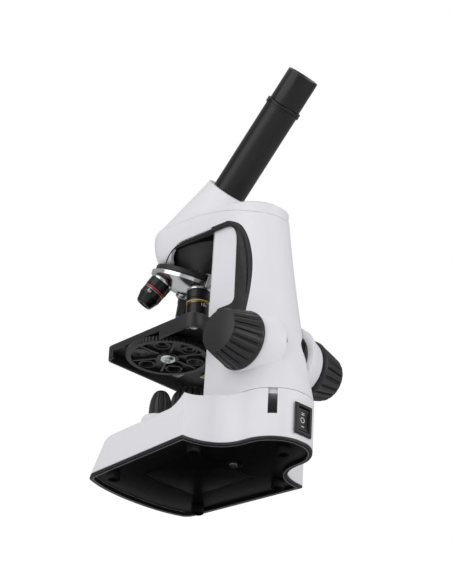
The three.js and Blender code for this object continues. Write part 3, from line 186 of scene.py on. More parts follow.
def cut(obj, *tools):
    for tool in tools:
        apply(obj, "BOOLEAN", operation="DIFFERENCE", solver="EXACT", object=tool)
        bpy.data.objects.remove(tool, do_unlink=True)
    return obj


def fuse(obj, *others):
    for other in others:
        apply(obj, "BOOLEAN", operation="UNION", solver="EXACT", object=other)
        bpy.data.objects.remove(other, do_unlink=True)
    return obj


def ease_edges(obj, width, segments=2, angle=32):
    """Round the edges that are sharper than an angle; width in millimetres."""
    return apply(obj, "BEVEL", width=width * MM, segments=segments, limit_method="ANGLE",
                 angle_limit=math.radians(angle), use_clamp_overlap=True, harden_normals=False)


def finished(obj, body, finish, nodes=(), angle=32):
    """Smooth a piece, give it its finish, and let it ride on a body in place of frame nodes."""
    pick(obj)
    bpy.ops.object.shade_smooth_by_angle(angle=math.radians(angle))
    obj.data.materials.clear()
    obj.data.materials.append(FINISHES[finish]())
    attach(obj, body)
    if nodes:
        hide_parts(*nodes)
    return obj


def eased_copy(node, finish, width=0.4, segments=2, angle=30):
    """A copy of a frame node with its doubles merged, its flats joined and its edges rounded."""
    source = frame["nodes"][node]
    obj = source.copy()
    obj.data = source.data.copy()
    obj.name = obj.data.name = node + "_finished"
    for key in list(obj.keys()):
        del obj[key]
    obj.parent = None
    obj.matrix_world = Matrix.Identity(4)
    bpy.context.scene.collection.objects.link(obj)
    editing(obj, merge, lambda: bpy.ops.mesh.dissolve_limited(angle_limit=math.radians(0.6)), face_out)
    if width:
        ease_edges(obj, width, segments, angle)
    return finished(obj, BODY_OF[node], finish, [node], angle)


# ---------------------------------------------------------------- shader maths
class Wire:
    """A shader socket that adds its Math nodes as it is used in an expression."""

    def __init__(self, bench, socket):
        self.bench, self.socket = bench, socket

    def math(self, operation, *terms, clamp=False):
        return self.bench.node("ShaderNodeMath", {"operation": operation, "use_clamp": clamp}, *terms)

    def __add__(self, other):
        return self.math("ADD", self, other)

    def __sub__(self, other):
        return self.math("SUBTRACT", self, other)

    def __rsub__(self, other):
        return self.math("SUBTRACT", other, self)

    def __mul__(self, other):
        return self.math("MULTIPLY", self, other)

    def __truediv__(self, other):
        return self.math("DIVIDE", self, other)

    __radd__ = __add__
    __rmul__ = __mul__


class Bench:
    """The node tree of one material, with one way to add a node."""

    def __init__(self, name):
        self.material = bpy.data.materials.new(name)
        self.material.use_nodes = True
        self.tree = self.material.node_tree
        self.shader = self.tree.nodes["Principled BSDF"]

    def node(self, kind, settings, *inputs, output=0, **named):
        made = self.tree.nodes.new(kind)
        for key, value in settings.items():
            if key == "stops":
                for i, (place, colour) in enumerate(value):
                    stop = made.color_ramp.elements[i] if i < 2 else made.color_ramp.elements.new(place)
                    stop.position, stop.color = place, colour
            else:
                setattr(made, key, value)
        for key, value in [*enumerate(inputs), *named.items()]:
            self.feed(made.inputs[key], value)
        return Wire(self, made.outputs[output])

    def feed(self, socket, value):
        if isinstance(value, Wire):
            self.tree.links.new(value.socket, socket)
        elif value is not None:
            socket.default_value = value

    def place(self):
        """Object coordinates."""
        return self.node("ShaderNodeTexCoord", {}, output=3)

    def noise(self, scale, detail=3.0, roughness=0.5, vector=None):
        return self.node("ShaderNodeTexNoise", {}, Vector=vector or self.place(), Scale=scale, Detail=detail,
                         Roughness=roughness)

    def blend_colours(self, factor, first, second):
        return self.node("ShaderNodeMix", {"data_type": "RGBA"}, factor, None, None, None, None, None, first,
                         second, output=2)

    def bump(self, height, strength, distance):
        return self.node("ShaderNodeBump", {}, Strength=strength, Distance=distance, Height=height)

    def spread(self, value, low, high):
        """A value between 0 and 1 spread between two limits."""
        return self.node("ShaderNodeMapRange", {}, value, 0.3, 0.7, low, high)

    def finish(self, **sockets):
        for key, value in sockets.items():
            self.feed(self.shader.inputs[key.replace("_", " ")], value)
        return self.material


def kept(maker):
    """Make a material once and hand out the same one afterwards."""
    def give():
        if maker.__name__ not in bpy.data.materials:
            maker(Bench(maker.__name__))
        return bpy.data.materials[maker.__name__]
    return give


def colours():
    return bpy.context.scene.microscope_colours


def rgba(colour, level=1.0):
    return (colour[0] * level, colour[1] * level, colour[2] * level, 1.0)


def moulded(bench, colour, rough, grain, depth, cloud=0.06, coat=0.0):
    """Moulded plastic: a fine eroded grain, faint clouding of the colour and rubbed, uneven gloss."""
    fine = bench.noise(grain, 2.0, 0.6)
    broad = bench.noise(22.0, 3.0, 0.55)
    rubbed = bench.noise(95.0, 4.0, 0.65)
    tone = bench.blend_colours(bench.spread(broad, 0.0, 1.0), rgba(colour, 1 - cloud), rgba(colour, 1.0))
    return bench.finish(
        Base_Color=tone, Roughness=bench.spread(rubbed * 0.6 + fine * 0.4, rough - 0.04, rough + 0.05),
        Normal=bench.bump(fine, 0.35, depth), Coat_Weight=coat, Coat_Roughness=0.18)


@kept
def satin_white_plastic(bench):
    moulded(bench, colours().white_plastic, 0.42, 1500.0, 0.00004, 0.015)


@kept
def satin_black_plastic(bench):
    moulded(bench, colours().black_plastic, 0.44, 1400.0, 0.00006, 0.25)


@kept
def grained_black_plastic(bench):
    moulded(bench, colours().black_plastic, 0.52, 900.0, 0.00012, 0.3)


@kept
def knob_black_plastic(bench):
    moulded(bench, colours().black_plastic, 0.4, 1200.0, 0.00006, 0.2)


@kept
def gloss_black_enamel(bench):
    peel = bench.noise(420.0, 2.0, 0.5)
    haze = bench.noise(60.0, 4.0, 0.6)
    tone = bench.blend_colours(bench.spread(haze, 0.0, 1.0), rgba(colours().enamel, 0.8), rgba(colours().enamel, 1.2))
    bench.finish(Base_Color=tone, Roughness=bench.spread(haze, 0.24, 0.33), Normal=bench.bump(peel, 0.08, 0.00003),
                 Specular_IOR_Level=0.42)


def metal(bench, colour, tint, rough, scratch=0.00003, stretch=(1.0, 1.0, 12.0)):
    """Metal with directional fine marks, faint staining and uneven polish."""
    drawn = bench.node("ShaderNodeMapping", {}, bench.place(), Scale=(stretch[0] * 900, stretch[1] * 900,
                                                                       stretch[2] * 900))
    marks = bench.noise(1.0, 3.0, 0.6, drawn)
    stain = bench.noise(130.0, 4.0, 0.6)
    tone = bench.blend_colours(bench.spread(stain, 0.0, 1.0), colour, tint)
    return bench.finish(Base_Color=tone, Metallic=1.0, Roughness=bench.spread(stain * 0.5 + marks * 0.5, rough - 0.05,
                        rough + 0.08), Normal=bench.bump(marks, 0.15, scratch))


@kept
def polished_chrome_plate(bench):
    metal(bench, (0.66, 0.67, 0.68, 1), (0.78, 0.78, 0.78, 1), 0.13, 0.00001, (1, 1, 1))


@kept
def brushed_steel_strip(bench):
    metal(bench, (0.5, 0.5, 0.5, 1), (0.62, 0.62, 0.63, 1), 0.3)


@kept
def zinc_plated_screw(bench):
    metal(bench, (0.6, 0.68, 0.68, 1), (0.76, 0.8, 0.74, 1), 0.22, 0.00001, (1, 1, 1))


@kept
def turned_brass(bench):
    metal(bench, (0.62, 0.47, 0.22, 1), (0.76, 0.6, 0.32, 1), 0.26)


@kept
def ground_glass_lens(bench):
    dust = bench.noise(300.0, 4.0, 0.6)
    bench.finish(Base_Color=(0.93, 0.97, 1.0, 1), Roughness=bench.spread(dust, 0.02, 0.09), IOR=1.52,
                 Transmission_Weight=0.9, Coat_Weight=0.4, Coat_Roughness=0.03)


@kept
def foot_rubber(bench):
    moulded(bench, (0.016, 0.016, 0.017), 0.72, 700.0, 0.00015, 0.3)


@kept
def board_laminate(bench):
    weave = bench.node("ShaderNodeTexWave", {}, Vector=bench.place(), Scale=600.0, Distortion=1.5)
    tone = bench.blend_colours(weave, (0.01, 0.12, 0.04, 1), (0.02, 0.17, 0.06, 1))
    bench.finish(Base_Color=tone, Roughness=0.35, Normal=bench.bump(weave, 0.2, 0.00005))


@kept
def cell_jacket(bench):
    haze = bench.noise(80.0, 3.0, 0.5)
    tone = bench.blend_colours(haze, (0.02, 0.03, 0.05, 1), (0.5, 0.52, 0.55, 1))
    bench.finish(Base_Color=tone, Metallic=0.6, Roughness=bench.spread(haze, 0.25, 0.4))


@kept
def pale_lamp_plastic(bench):
    moulded(bench, (0.82, 0.8, 0.7), 0.45, 900.0, 0.00005, 0.08)


def marking(bench, colour):
    """Printed or filled paint, slightly uneven; also the pale loop on the bottom rim, which is a painted highlight.
    """
    uneven = bench.noise(700.0, 3.0, 0.6)
    tone = bench.blend_colours(uneven, rgba(colour, 0.85), rgba(colour, 1.0))
    return bench.finish(Base_Color=tone, Roughness=bench.spread(uneven, 0.35, 0.5),
                        Normal=bench.bump(uneven, 0.1, 0.00002))


@kept
def white_marking(bench):
    marking(bench, (0.8, 0.8, 0.8))


# Pale grey for the thin loop on the bottom rim: a painted highlight standing in for the light on the raised ridge.
@kept
def painted_ridge_highlight(bench):
    marking(bench, (0.42, 0.44, 0.46))


@kept
def red_ring(bench):
    marking(bench, (0.55, 0.02, 0.03))


@kept
def yellow_ring(bench):
    marking(bench, (0.75, 0.48, 0.02))


@kept
def blue_ring(bench):
    marking(bench, (0.02, 0.12, 0.5))


@kept
def studio_floor(bench):
    """Pale floor that can only be seen from above."""
    soft = bench.noise(6.0, 2.0, 0.5)
    bench.finish(Base_Color=bench.blend_colours(soft, (0.84, 0.84, 0.85, 1), (0.88, 0.88, 0.89, 1)), Roughness=0.9)
    below = bench.node("ShaderNodeNewGeometry", {}, output=6)
    clear = bench.node("ShaderNodeBsdfTransparent", {})
    surface = bench.node("ShaderNodeMixShader", {}, below, Wire(bench, bench.shader.outputs[0]), clear)
    out = bench.tree.nodes["Material Output"]
    bench.tree.links.new(surface.socket, out.inputs["Surface"])


FINISHES = dict(
    satin_white_plastic=satin_white_plastic,
    satin_black_plastic=satin_black_plastic,
    grained_black_plastic=grained_black_plastic,
    knob_black_plastic=knob_black_plastic,
    gloss_black_enamel=gloss_black_enamel,
    polished_chrome_plate=polished_chrome_plate,
    brushed_steel_strip=brushed_steel_strip,
    zinc_plated_screw=zinc_plated_screw,
    turned_brass=turned_brass,
    ground_glass_lens=ground_glass_lens,
    foot_rubber=foot_rubber,
    board_laminate=board_laminate,
    cell_jacket=cell_jacket,
    pale_lamp_plastic=pale_lamp_plastic,
    white_marking=white_marking,
    painted_ridge_highlight=painted_ridge_highlight,
    red_ring=red_ring,
    yellow_ring=yellow_ring,
    blue_ring=blue_ring,
    studio_floor=studio_floor,
)


# ---------------------------------------------------------------- outlines, in millimetres
SHELL_BOTTOM = 5.2


def quad(a, b, c, steps):
    """Points on a three-point curve, without its first point."""
    return [tuple((1 - t) ** 2 * a[k] + 2 * t * (1 - t) * b[k] + t * t * c[k] for k in (0, 1))
            for t in (i / steps for i in range(1, steps + 1))]


def cubic(a, b, c, d, steps):
    return [tuple((1 - t) ** 3 * a[k] + 3 * t * (1 - t) ** 2 * b[k] + 3 * t * t * (1 - t) * c[k] + t ** 3 * d[k]
                  for k in (0, 1)) for t in (i / steps for i in range(1, steps + 1))]


def line(a, b, steps):
    return [tuple(a[k] + (b[k] - a[k]) * i / steps for k in (0, 1)) for i in range(1, steps + 1)]


def spline(points, steps):
    """A smooth curve through points, without its first point."""
    out = []
    for i in range(len(points) - 1):
        p = [points[max(0, i - 1)], points[i], points[i + 1], points[min(len(points) - 1, i + 2)]]
        for j in range(1, steps + 1):
            t = j / steps
            out.append(tuple(0.5 * (2 * p[1][k] + (p[2][k] - p[0][k]) * t
                                    + (2 * p[0][k] - 5 * p[1][k] + 4 * p[2][k] - p[3][k]) * t * t
                                    + (3 * p[1][k] - p[0][k] - 3 * p[2][k] + p[3][k]) * t ** 3) for k in (0, 1)))
    return out


def inset(outline, distance):
    """An anticlockwise outline moved inwards."""
    moved = []
    for i, (x, y) in enumerate(outline):
        px, py = outline[i - 1]
        nx, ny = outline[(i + 1) % len(outline)]
        into, away = Vector((x - px, y - py)).normalized(), Vector((nx - x, ny - y)).normalized()
        half = (into + away).normalized()
        spread = max(0.5, math.sqrt(max(0.0, (1 + into.dot(away)) / 2)))
        moved.append((x - half.y * distance / spread, y + half.x * distance / spread))
    return moved


def mirrored(half):
    """Close a right half, whose ends lie on the centre line or face each other."""
    left = [(-x, y) for x, y in reversed(half)]
    if half[0][0] == 0:
        left = left[:-1]
    return half + left


def back_corner(half_width, back, steps):
    return cubic((half_width, back - 25), (half_width, back - 13), (half_width * 0.65, back - 2),
                 (half_width * 0.16, back), steps)


def lean_at(z):
    """How far the front and the flanks of the base have moved back at a height."""
    return (z - SHELL_BOTTOM) / 18.8 * 11


def base_plan(lean=0.0, fine=1):
    bow, corner, flank = (39, -47.5 + lean), (45, -45.5 + lean), (45.5, -38.5 + lean)
    half = [(0, -53.5 + lean)]
    half += quad(half[-1], (23.4, -53.5 + lean), bow, 8 * fine)
    half += quad(bow, corner, flank, 5 * fine)
    half += line(flank, (53.4, 47.8), 16 * fine)
    half += quad((53.4, 47.8), (26.6, 49), (24.6, 71.3), 10 * fine)
    half += [(24.6, 72)] + back_corner(24.6, 97, 10 * fine)
    return mirrored(half)


def column_plan(half_width, back, front, steps=14):
    half = [(half_width, front)]
    half += line(half[-1], (half_width, back - 25), steps)
    half += back_corner(half_width, back, steps)
    return half + [(0.0, back)] + [(-x, y) for x, y in reversed(half)]


def head_plan(half_width, back, steps=32):
    nose = [(half_width * math.cos(math.pi + math.pi * i / steps),
             -13.5 + half_width * math.sin(math.pi + math.pi * i / steps)) for i in range(steps + 1)]
    return nose + column_plan(half_width, back, 10.0)


def column_at(z):
    share = min(1.0, max(0.0, (z - 37) / 140))
    ease = share + 0.35 * share * (1 - share)
    return 24.6 + (21 - 24.6) * min(1, share * 1.15), 97 + (71.5 - 97) * ease


def opening_edge(offset=0.0, fine=6):
    """Front edge of the white arm, seen from the side: up, round and out to the nose."""
    points = [(54.6, 46), (60.5, 64), (65.2, 86), (67.5, 108), (67.1, 127), (64.6, 141)]
    points = [(50 + offset, 33)] + [(y + offset, z) for y, z in points]
    points += [(60.7 + offset * 0.8, 152 + offset * 0.4), (55.2 + offset * 0.6, 159.5 + offset * 0.7),
               (45.5, 164.4 + offset)]
    edge = [points[0]] + spline(points, fine)
    edge += line((45.5, 164.4 + offset), (4, 164.4 + offset), 12)
    edge += quad((4, 164.4 + offset), (-9.5 - offset * 0.7, 163.9 + offset * 0.7), (-13.5 - offset, 150.6), 12)
    return edge


def seam_line(offset):
    """The seam between arm and head cover, seen from the side: level over the nose, then falling."""
    return ([(-80, 177.6 + offset), (6, 177.6 + offset)]
            + spline([(6, 177.6 + offset)] + [(y, z + offset) for y, z in ((20, 177), (40, 173), (60, 168), (72,
                                                    165.4))],
                     5) + [(120, 155 + offset)])


def deck_height(y):
    """Height of the base's top: flat, then rising to the foot of the column."""
    if y <= 31:
        return 28.0
    if y >= 53:
        return 37.0
    t = (24 - math.sqrt(576 - 8 * (53 - y))) / 4
    return 28 + 9 * (1 - t) ** 2


# ---------------------------------------------------------------- white mouldings
def white_base():
    """The base: leaning front, rounded rim, and a deck that rises to the column."""
    rim_fine, rim_wide = 0.35, 3.0
    rings = []
    for z in (5.2, 6.0, 10, 15, 20, 25):
        rings.append([(x, y, z) for x, y in base_plan(lean_at(z), 2)])
    top = base_plan(13, 2)

    def rim(y):
        share = min(1.0, max(0.0, (y - 31) / 22))
        return rim_wide + (rim_fine - rim_wide) * share * share * (3 - 2 * share)

    wall = [[spot(x, y, z if y < 31 else 5.2 + (z - 5.2) / 19.8 * (deck_height(y) - rim(y) - 5.2))
             for x, y, z in ring] for ring in rings]
    for step in range(1, 7):
        turn = math.radians(15 * step)
        level = []
        moved = inset(top, 1.0)
        for (x, y), (mx, my) in zip(top, moved):
            r = rim(y)
            level.append(spot(x + (mx - x) * r * (1 - math.cos(turn)), y + (my - y) * r * (1 - math.cos(turn)),
                              deck_height(y) - r * (1 - math.sin(turn))))
        wall.append(level)
    count = len(top)
    points = [p for ring in wall for p in ring]
    faces = [(row * count + i, row * count + (i + 1) % count, (row + 1) * count + (i + 1) % count,
              (row + 1) * count + i) for row in range(len(wall) - 1) for i in range(count)]
    last = (len(wall) - 1) * count
    faces.append(tuple(reversed(range(count))))
    half = count // 2
    for i in range(half):
        right, left = last + i, last + (count - i) % count
        right_next, left_next = last + i + 1, last + (count - i - 1) % count
        faces.append(tuple(dict.fromkeys((left, right, right_next, left_next))))
    obj = editing(from_points("white_base", points, faces), merge, face_out)
    hollow = loft("base_hollow", [upright(inset(base_plan(lean), 2.6), z) for z, lean in ((4, 0), (25.6, 12))])
    shaft = box_between("column_hollow", (-20, 60, 20), (20, 91, 40))
    tower = rod("tower_hole", 11, 15, 35, at(0, 0, 0), 48)
    pocket = box_between("switch_pocket", (-6.1, 88, 9.9), (6.1, 101, 28.1))
    collar = spun("knob_collar", [(0, 26), (10.7, 26), (10.5, 28.6), (10.0, 31), (9.7, 33.4), (9.2, 34.3),
                                  (8.6, 34.5), (0, 34.5)], at(33, 3, 0), 64)
    knob_hole = rod("knob_hole", 4, 20, 40, at(33, 3, 0), 32)
    fuse(obj, collar)
    cut(obj, hollow, shaft, tower, knob_hole, pocket)
    return finished(obj, "stand", "satin_white_plastic", ["base_shell"], 28)


def arm_pieces(name, wall=0.0, low=37.3):
    """The column and the head, each closed, before they are joined or taken away."""
    levels = [low + (166 - low) * i / 30 for i in range(31)]
    column = loft(name, [upright(inset(column_plan(*column_at(z), 30), wall), z) for z in levels])
    under = [(9.5, 154.6), (7, 155.3), (4.8, 157.2), (3.1, 159.8), (1.9, 163), (1, 166), (0.4, 169.2), (0, 173)]
    over = [(0, 176), (0.5, 177.8), (1.6, 179.4), (3.2, 180.6), (5.2, 181.3), (7.6, 181.6)]
    if wall:
        under[0] = (7.5, 152.6)
    rings = []
    for sloped, curve in ((0, [under[0]] + spline(under, 3)), (1, [over[0]] + spline(over, 3))):
        for edge, z in curve:
            z -= wall * sloped
            plan = inset(head_plan(21, column_at(z)[1]), max(0.0, edge) + wall)
            rings.append([spot(x, y, z - sloped * 0.085 * max(0.0, y - 10)) for x, y in plan])
    return column, loft("head", rings)


def arm_body(name, wall=0.0, low=37.3):
    return fuse(*arm_pieces(name, wall, low))


TURRET_UP = Vector((0, math.sin(math.radians(22)), math.cos(math.radians(22))))
APEX = (0, 0, 176)
RIM, PLATE_TOP = -33.6, -26.7


def turret_place():
    """The turret's own frame: origin where the optical axes meet, Z along the pivot."""
    return Matrix.Translation(spot(*APEX)) @ Matrix.Rotation(math.radians(-22), 4, "X")


def turret_room():
    return rod("turret_room", 24.8, -60, PLATE_TOP + 0.5, turret_place(), 72)


def white_arm():
    """The arm: a tapering column with a rounded back, and a head with a rounded nose."""
    column = arm_body("white_arm")
    for sign in (1, -1):
        flare = [(0, 12), (22.7, 12), (22.5, 15), (21.0, 18), (19.7, 21), (18.6, 24), (18.0, 25.6), (17.6, 26.2),
                 (17.0, 26.4), (0, 26.4)]
        fuse(column, spun("boss", flare, aim(SHAFT, (sign, 0, 0)), 72))
    opening = across("opening", opening_edge(0, 6) + [(-80, 150.6), (-80, 33)], -40, 40)
    above = across("above_seam", seam_line(-0.1) + [(120, 240), (-80, 240)], -40, 40)
    boss_room = rod("boss_room", 18, -19, 19, aim(SHAFT, (1, 0, 0)), 48)
    bush_hole = rod("bush_hole", 5.3, -40, 40, aim(SHAFT, (1, 0, 0)), 40)
    cut(column, opening, above, boss_room, bush_hole, turret_room(), *arm_pieces("arm_hollow", 2.2, 34))
    return finished(column, "stand", "satin_white_plastic", ["arm_shell"], 30)


TUBE_AIM = Vector((0, 1, 1)).normalized()


def along_tube(distance):
    return spot(0, 0, 175.8) + TUBE_AIM * distance * MM


def white_head_cover():
    """The cap over the head, drawn up into a round collar that holds the tube."""
    cap = arm_body("white_head_cover")
    cut(cap, across("below_seam", [(-80, -10), (120, -10)] + seam_line(0.1)[::-1], -40, 40))
    count = 96

    def cone(shrink, reach, rings):
        rim, collar = [], []
        side = Vector((0, math.sin(math.radians(45)), -math.cos(math.radians(45))))
        for i in range(count):
            turn = 2 * math.pi * i / count
            half = 19.8 - shrink
            back = 50 - shrink if math.sin(turn) > 0 else half
            rim.append(spot(half * math.cos(turn), -13.5 + back * math.sin(turn), 178.5 - (2.9 if shrink else 0)))
            collar.append(along_tube(reach) + Vector((1, 0, 0)) * (15 - shrink) * math.cos(turn) * MM
                          + side * (15 - shrink) * math.sin(turn) * MM)
        return loft("cone", [[a.lerp(b, k / rings) for a, b in zip(rim, collar)] for k in range(rings + 1)])

    fuse(cap, cone(0, 34.4, 8))
    bore = rod("tube_bore", 11.55, 4, 44, aim(spot(0, 0, 175.8), TUBE_AIM), 64)
    cut(cap, box_between("cap_room", (-16, -22, 150), (16, 60, 174.5)), bore)
    return finished(cap, "stand", "satin_white_plastic", ["head_cover"], 28)


# ---------------------------------------------------------------- bottom
def black_bottom():
    """The bottom plate: a rim under the white edge, a sunk face, a place for the battery door, and a pale loop on the
    rim that is a painted highlight.
    """
    def ring(edge, z):
        return upright(inset(base_plan(lean_at(z), 1), edge), z)

    plate = loft("black_bottom", [ring(3.2, 5.4), ring(3.2, 3.9), ring(3.1, 3.6), ring(2.9, 3.4), ring(0.6, 3.4),
                                  ring(0.25, 3.5), ring(0.1, 3.8), ring(0.1, 4.9), ring(2.5, 4.9), ring(2.5, 7.3)])
    door = box_between("door_room", (-23.5, -18, 0), (23.5, 34.6, 30))
    notch = rod("notch", 7.5, 0, 6.6, at(0, 37.6, 0), 48)
    screw = rod("screw_room", 1.9, 0, 20, at(0, 39.1, 0), 24)
    cut(plate, door, notch, screw)
    finished(plate, "stand", "satin_black_plastic", ["bottom_plate"], 30)
    # A thin pale loop on the rim: a painted highlight in place of the light on the raised ridge.
    outer, inner = [inset(base_plan(lean_at(3.4), 1), edge) for edge in (2.3, 2.75)]
    rings = [upright(inner, 3.5), upright(inner, 3.28), upright(outer, 3.28), upright(outer, 3.5)]
    highlight_loop = loft_loop("bottom_painted_highlight", rings)
    return finished(highlight_loop, "stand", "painted_ridge_highlight")


def loft_loop(name, rings):
    """A skin over rings that closes on itself, like a frame."""
    count, rows = len(rings[0]), len(rings)
    faces = [(row * count + i, row * count + (i + 1) % count, (row + 1) % rows * count + (i + 1) % count,
              (row + 1) % rows * count + i) for row in range(rows) for i in range(count)]
    return editing(from_points(name, [p for ring in rings for p in ring], faces), merge, face_out)


# ---------------------------------------------------------------- nosepiece
def pointing(turn):
    """Direction of an objective in the turret's frame."""
    side, around = math.sin(math.radians(22)), math.radians(90 + turn)
    return Vector((side * math.cos(around), side * math.sin(around), -math.cos(math.radians(22))))


def objective_place(turn):
    return aim(spot(*APEX), turret_place().to_3x3() @ pointing(turn))


def printed(name, text, size, place, radius, turn, height, body):
    """Figures printed round a barrel, their tops towards the seat."""
    bpy.ops.object.select_all(action="DESELECT")
    bpy.ops.object.text_add()
    obj = bpy.context.active_object
    obj.data.body, obj.data.size, obj.data.align_x = text, size * MM, "CENTER"
    obj.data.extrude = 0.03 * MM
    pick(obj)
    bpy.ops.object.convert(target="MESH")
    obj.name = obj.data.name = name
    for vertex in obj.data.vertices:
        x, y, z = vertex.co
        around = turn - x / (radius * MM)
        vertex.co = place @ Vector(((radius * MM + z) * math.cos(around), (radius * MM + z) * math.sin(around),
                                    height * MM - y))
    return finished(editing(obj, merge, face_out), body, "white_marking")


def objective(name, turn, length, taper, tip, aperture, ring, finish, text, face):
    place = objective_place(turn)
    seat, end = 41.6, 41.6 + length
    low = seat + length * taper
    profile = [(aperture, seat - 4), (5.5, seat - 4), (5.6, seat), (7.4, seat), (7.7, seat + 0.25), (7.7, seat + 5.3),
               (7.55, seat + 5.5), (7.25, seat + 5.55), (7.25, seat + 5.95), (7.4, seat + 6), (7.4, low),
               (7.2, low + 0.3), (tip + 0.5, end - 1.1), (tip + 0.2, end - 0.5), (tip - 0.2, end), (aperture + 0.5,
                                                       end),
               (aperture, end - 0.6), (aperture, seat - 4)]
    body = spun(name + "_barrel", profile, place, 96)
    finished(body, "turret", "gloss_black_enamel", [name], 30)

    def band(label, low_at, high_at, r, material):
        shape = [(r - 0.5, low_at), (r - 0.06, low_at), (r, low_at + 0.05), (r, high_at - 0.05), (r - 0.06, high_at),
                 (r - 0.5, high_at), (r - 0.5, low_at)]
        finished(spun(name + label, shape, place, 96), "turret", material)

    band("_colour_ring", seat + ring, seat + ring + 0.9, 7.5, finish)
    band("_bright_line", seat + ring + 1.5, seat + ring + 1.8, 7.46, "brushed_steel_strip")
    local = place.to_3x3().inverted() @ Vector(face)
    printed(name + "_figure", text, 3.2, place, 7.42, math.atan2(local.y, local.x), seat + ring + 4.6, "turret")


def nosepiece():
    """Turret, plate, the three objectives and the funnel."""
    place = turret_place()
    arc = [(41 * math.sin(math.radians(a)), -41 * math.cos(math.radians(a))) for a in
           [34.97 * i / 12 for i in range(13)]]
    shell = [(0, -38.8)] + [(38.8 * math.sin(math.radians(a)), -38.8 * math.cos(math.radians(a)))
                                       for a in (6, 12, 18, 24, 30, 33.6)]
    profile = arc + [(23.5, RIM + 0.15), (23.5, RIM + 2.4), (23.3, RIM + 2.6), (21.5, RIM + 2.6)] + shell[::-1]
    turret = spun("turret_plated", profile, place, 120)
    hub = rod("hub", 5, -40, RIM + 1, place, 40)
    fuse(turret, hub)
    for turn in (0, 120, 240):
        seat = objective_place(turn)
        fuse(turret, spun("seat", [(0, 37.4), (7.9, 37.4), (7.9, 41.2), (7.8, 41.3), (0, 41.3)], seat, 56))
        cut(turret, rod("seat_hole", 5.9, 29, 47, seat, 40))
    cut(turret, rod("pivot_hole", 2.35, -46, 0, place, 24))
    finished(turret, "turret", "polished_chrome_plate", ["turret"], 32)
    plate = spun("nosepiece_plate_moulded", [(0, RIM + 3.1), (21.2, RIM + 3.1), (21.6, RIM + 3.4), (21.6,
                                            PLATE_TOP - 0.9),
                                             (21.3, PLATE_TOP - 0.3), (20.6, PLATE_TOP), (0, PLATE_TOP)], place, 120)
    fuse(plate, spun("plate_hub", [(0, RIM + 1.5), (5.5, RIM + 1.5), (5.5, PLATE_TOP - 1), (0, PLATE_TOP - 1)],
                     place, 40))
    cut(plate, rod("light_hole", 6.5, 20, 44, objective_place(0), 48),
        rod("pivot_hole", 2.3, -60, 0, place, 24))
    finished(plate, "stand", "satin_black_plastic", ["nosepiece_plate"], 32)
    objective("objective_4x", 240, 18.2, 0.66, 5.2, 3, 6.1, "red_ring", "4x", (0.85, 0.35, -0.3))
    objective("objective_10x", 0, 19, 0.9, 6, 2.4, 7.4, "yellow_ring", "10x", (0.2, 0.95, -0.2))
    objective("objective_40x", 120, 20.5, 0.8, 4.8, 1.6, 13, "blue_ring", "40x", (-0.6, 0.6, -0.3))
    count = 96
    turns = [2 * math.pi * i / count for i in range(count)]
    rings = [[spot(r * math.cos(t), 1 + r * math.sin(t), z) for t in turns] for r, z in ((8.2, 136), (8.2, 143),
                                            (8.3, 145.2))]
    for k in range(1, 9):
        share = k / 8
        rings.append([spot((8.2 + 7.0 * share) * math.cos(t), 1 + (8.2 + 18.0 * share) * math.sin(t),
                           145.2 + 16.2 * share)
                      for t in turns])
    rings += [[spot(15.5 * math.cos(t), 1 + 26.5 * math.sin(t), z) for t in turns] for z in (161.8, 166)]
    funnel = loft("nosepiece_funnel_moulded", rings)
    cut(funnel, rod("under_funnel", 60, -70, PLATE_TOP + 0.3, place, 24),
        rod("funnel_bore", 5.8, 120, 180, at(0, 0, 0), 48))
    finished(funnel, "stand", "satin_black_plastic", ["nosepiece_funnel"], 34)


# ---------------------------------------------------------------- tube
def tube_and_eyepiece():
    place = aim(spot(0, 0, 175.8), TUBE_AIM)
    tube = [(10, 13), (11.1, 13), (11.25, 13.2), (11.25, 98.2), (11.9, 98.25), (12.1, 98.45), (12.1, 99.7), (11.8,
                                            99.85),
            (11.8, 100.1), (12.1, 100.25), (12.1, 101.65), (11.9, 101.9), (10.2, 101.9), (10, 101.7), (10, 13)]
    finished(spun("tube_enamelled", tube, place, 128), "stand", "gloss_black_enamel", ["eyepiece_tube"], 30)
    barrel = [(8.35, 74.9), (9.6, 74.9), (9.65, 75.1), (9.65, 102.2), (10.6, 102.2), (10.8, 102.4), (10.8, 124.2),
              (10.65, 124.6), (10.2, 124.8), (9.6, 124.75), (6.3, 122.5), (6.2, 120.4), (8.35, 120.4), (8.35, 74.9)]
    finished(spun("eyepiece_barrel_enamelled", barrel, place, 128), "eyepiece", "gloss_black_enamel",
             ["eyepiece_barrel"], 30)


# ---------------------------------------------------------------- ribbed pieces
def ribbed(name, stations, ribs, place, land=0.26, share=12, rounded=1.6):
    """A turned piece with grooves between its ribs; stations are (height, radius, groove depth)."""
    rings = []
    for height, radius, depth in stations:
        ring = []
        for i in range(ribs * share):
            away = abs((i % share) / share - 0.5)
            groove = min(1.0, max(0.0, 1 - away / land) * rounded)
            r = radius - depth * groove
            turn = 2 * math.pi * i / (ribs * share)
            ring.append(place @ Vector((r * math.cos(turn), r * math.sin(turn), height)))
        rings.append(ring)
    return loft(name, rings)


def standing(x, y, z):
    """A place at a point, in millimetres, with metres outside."""
    return Matrix.Translation(spot(x, y, z)) @ Matrix.Scale(MM, 4)


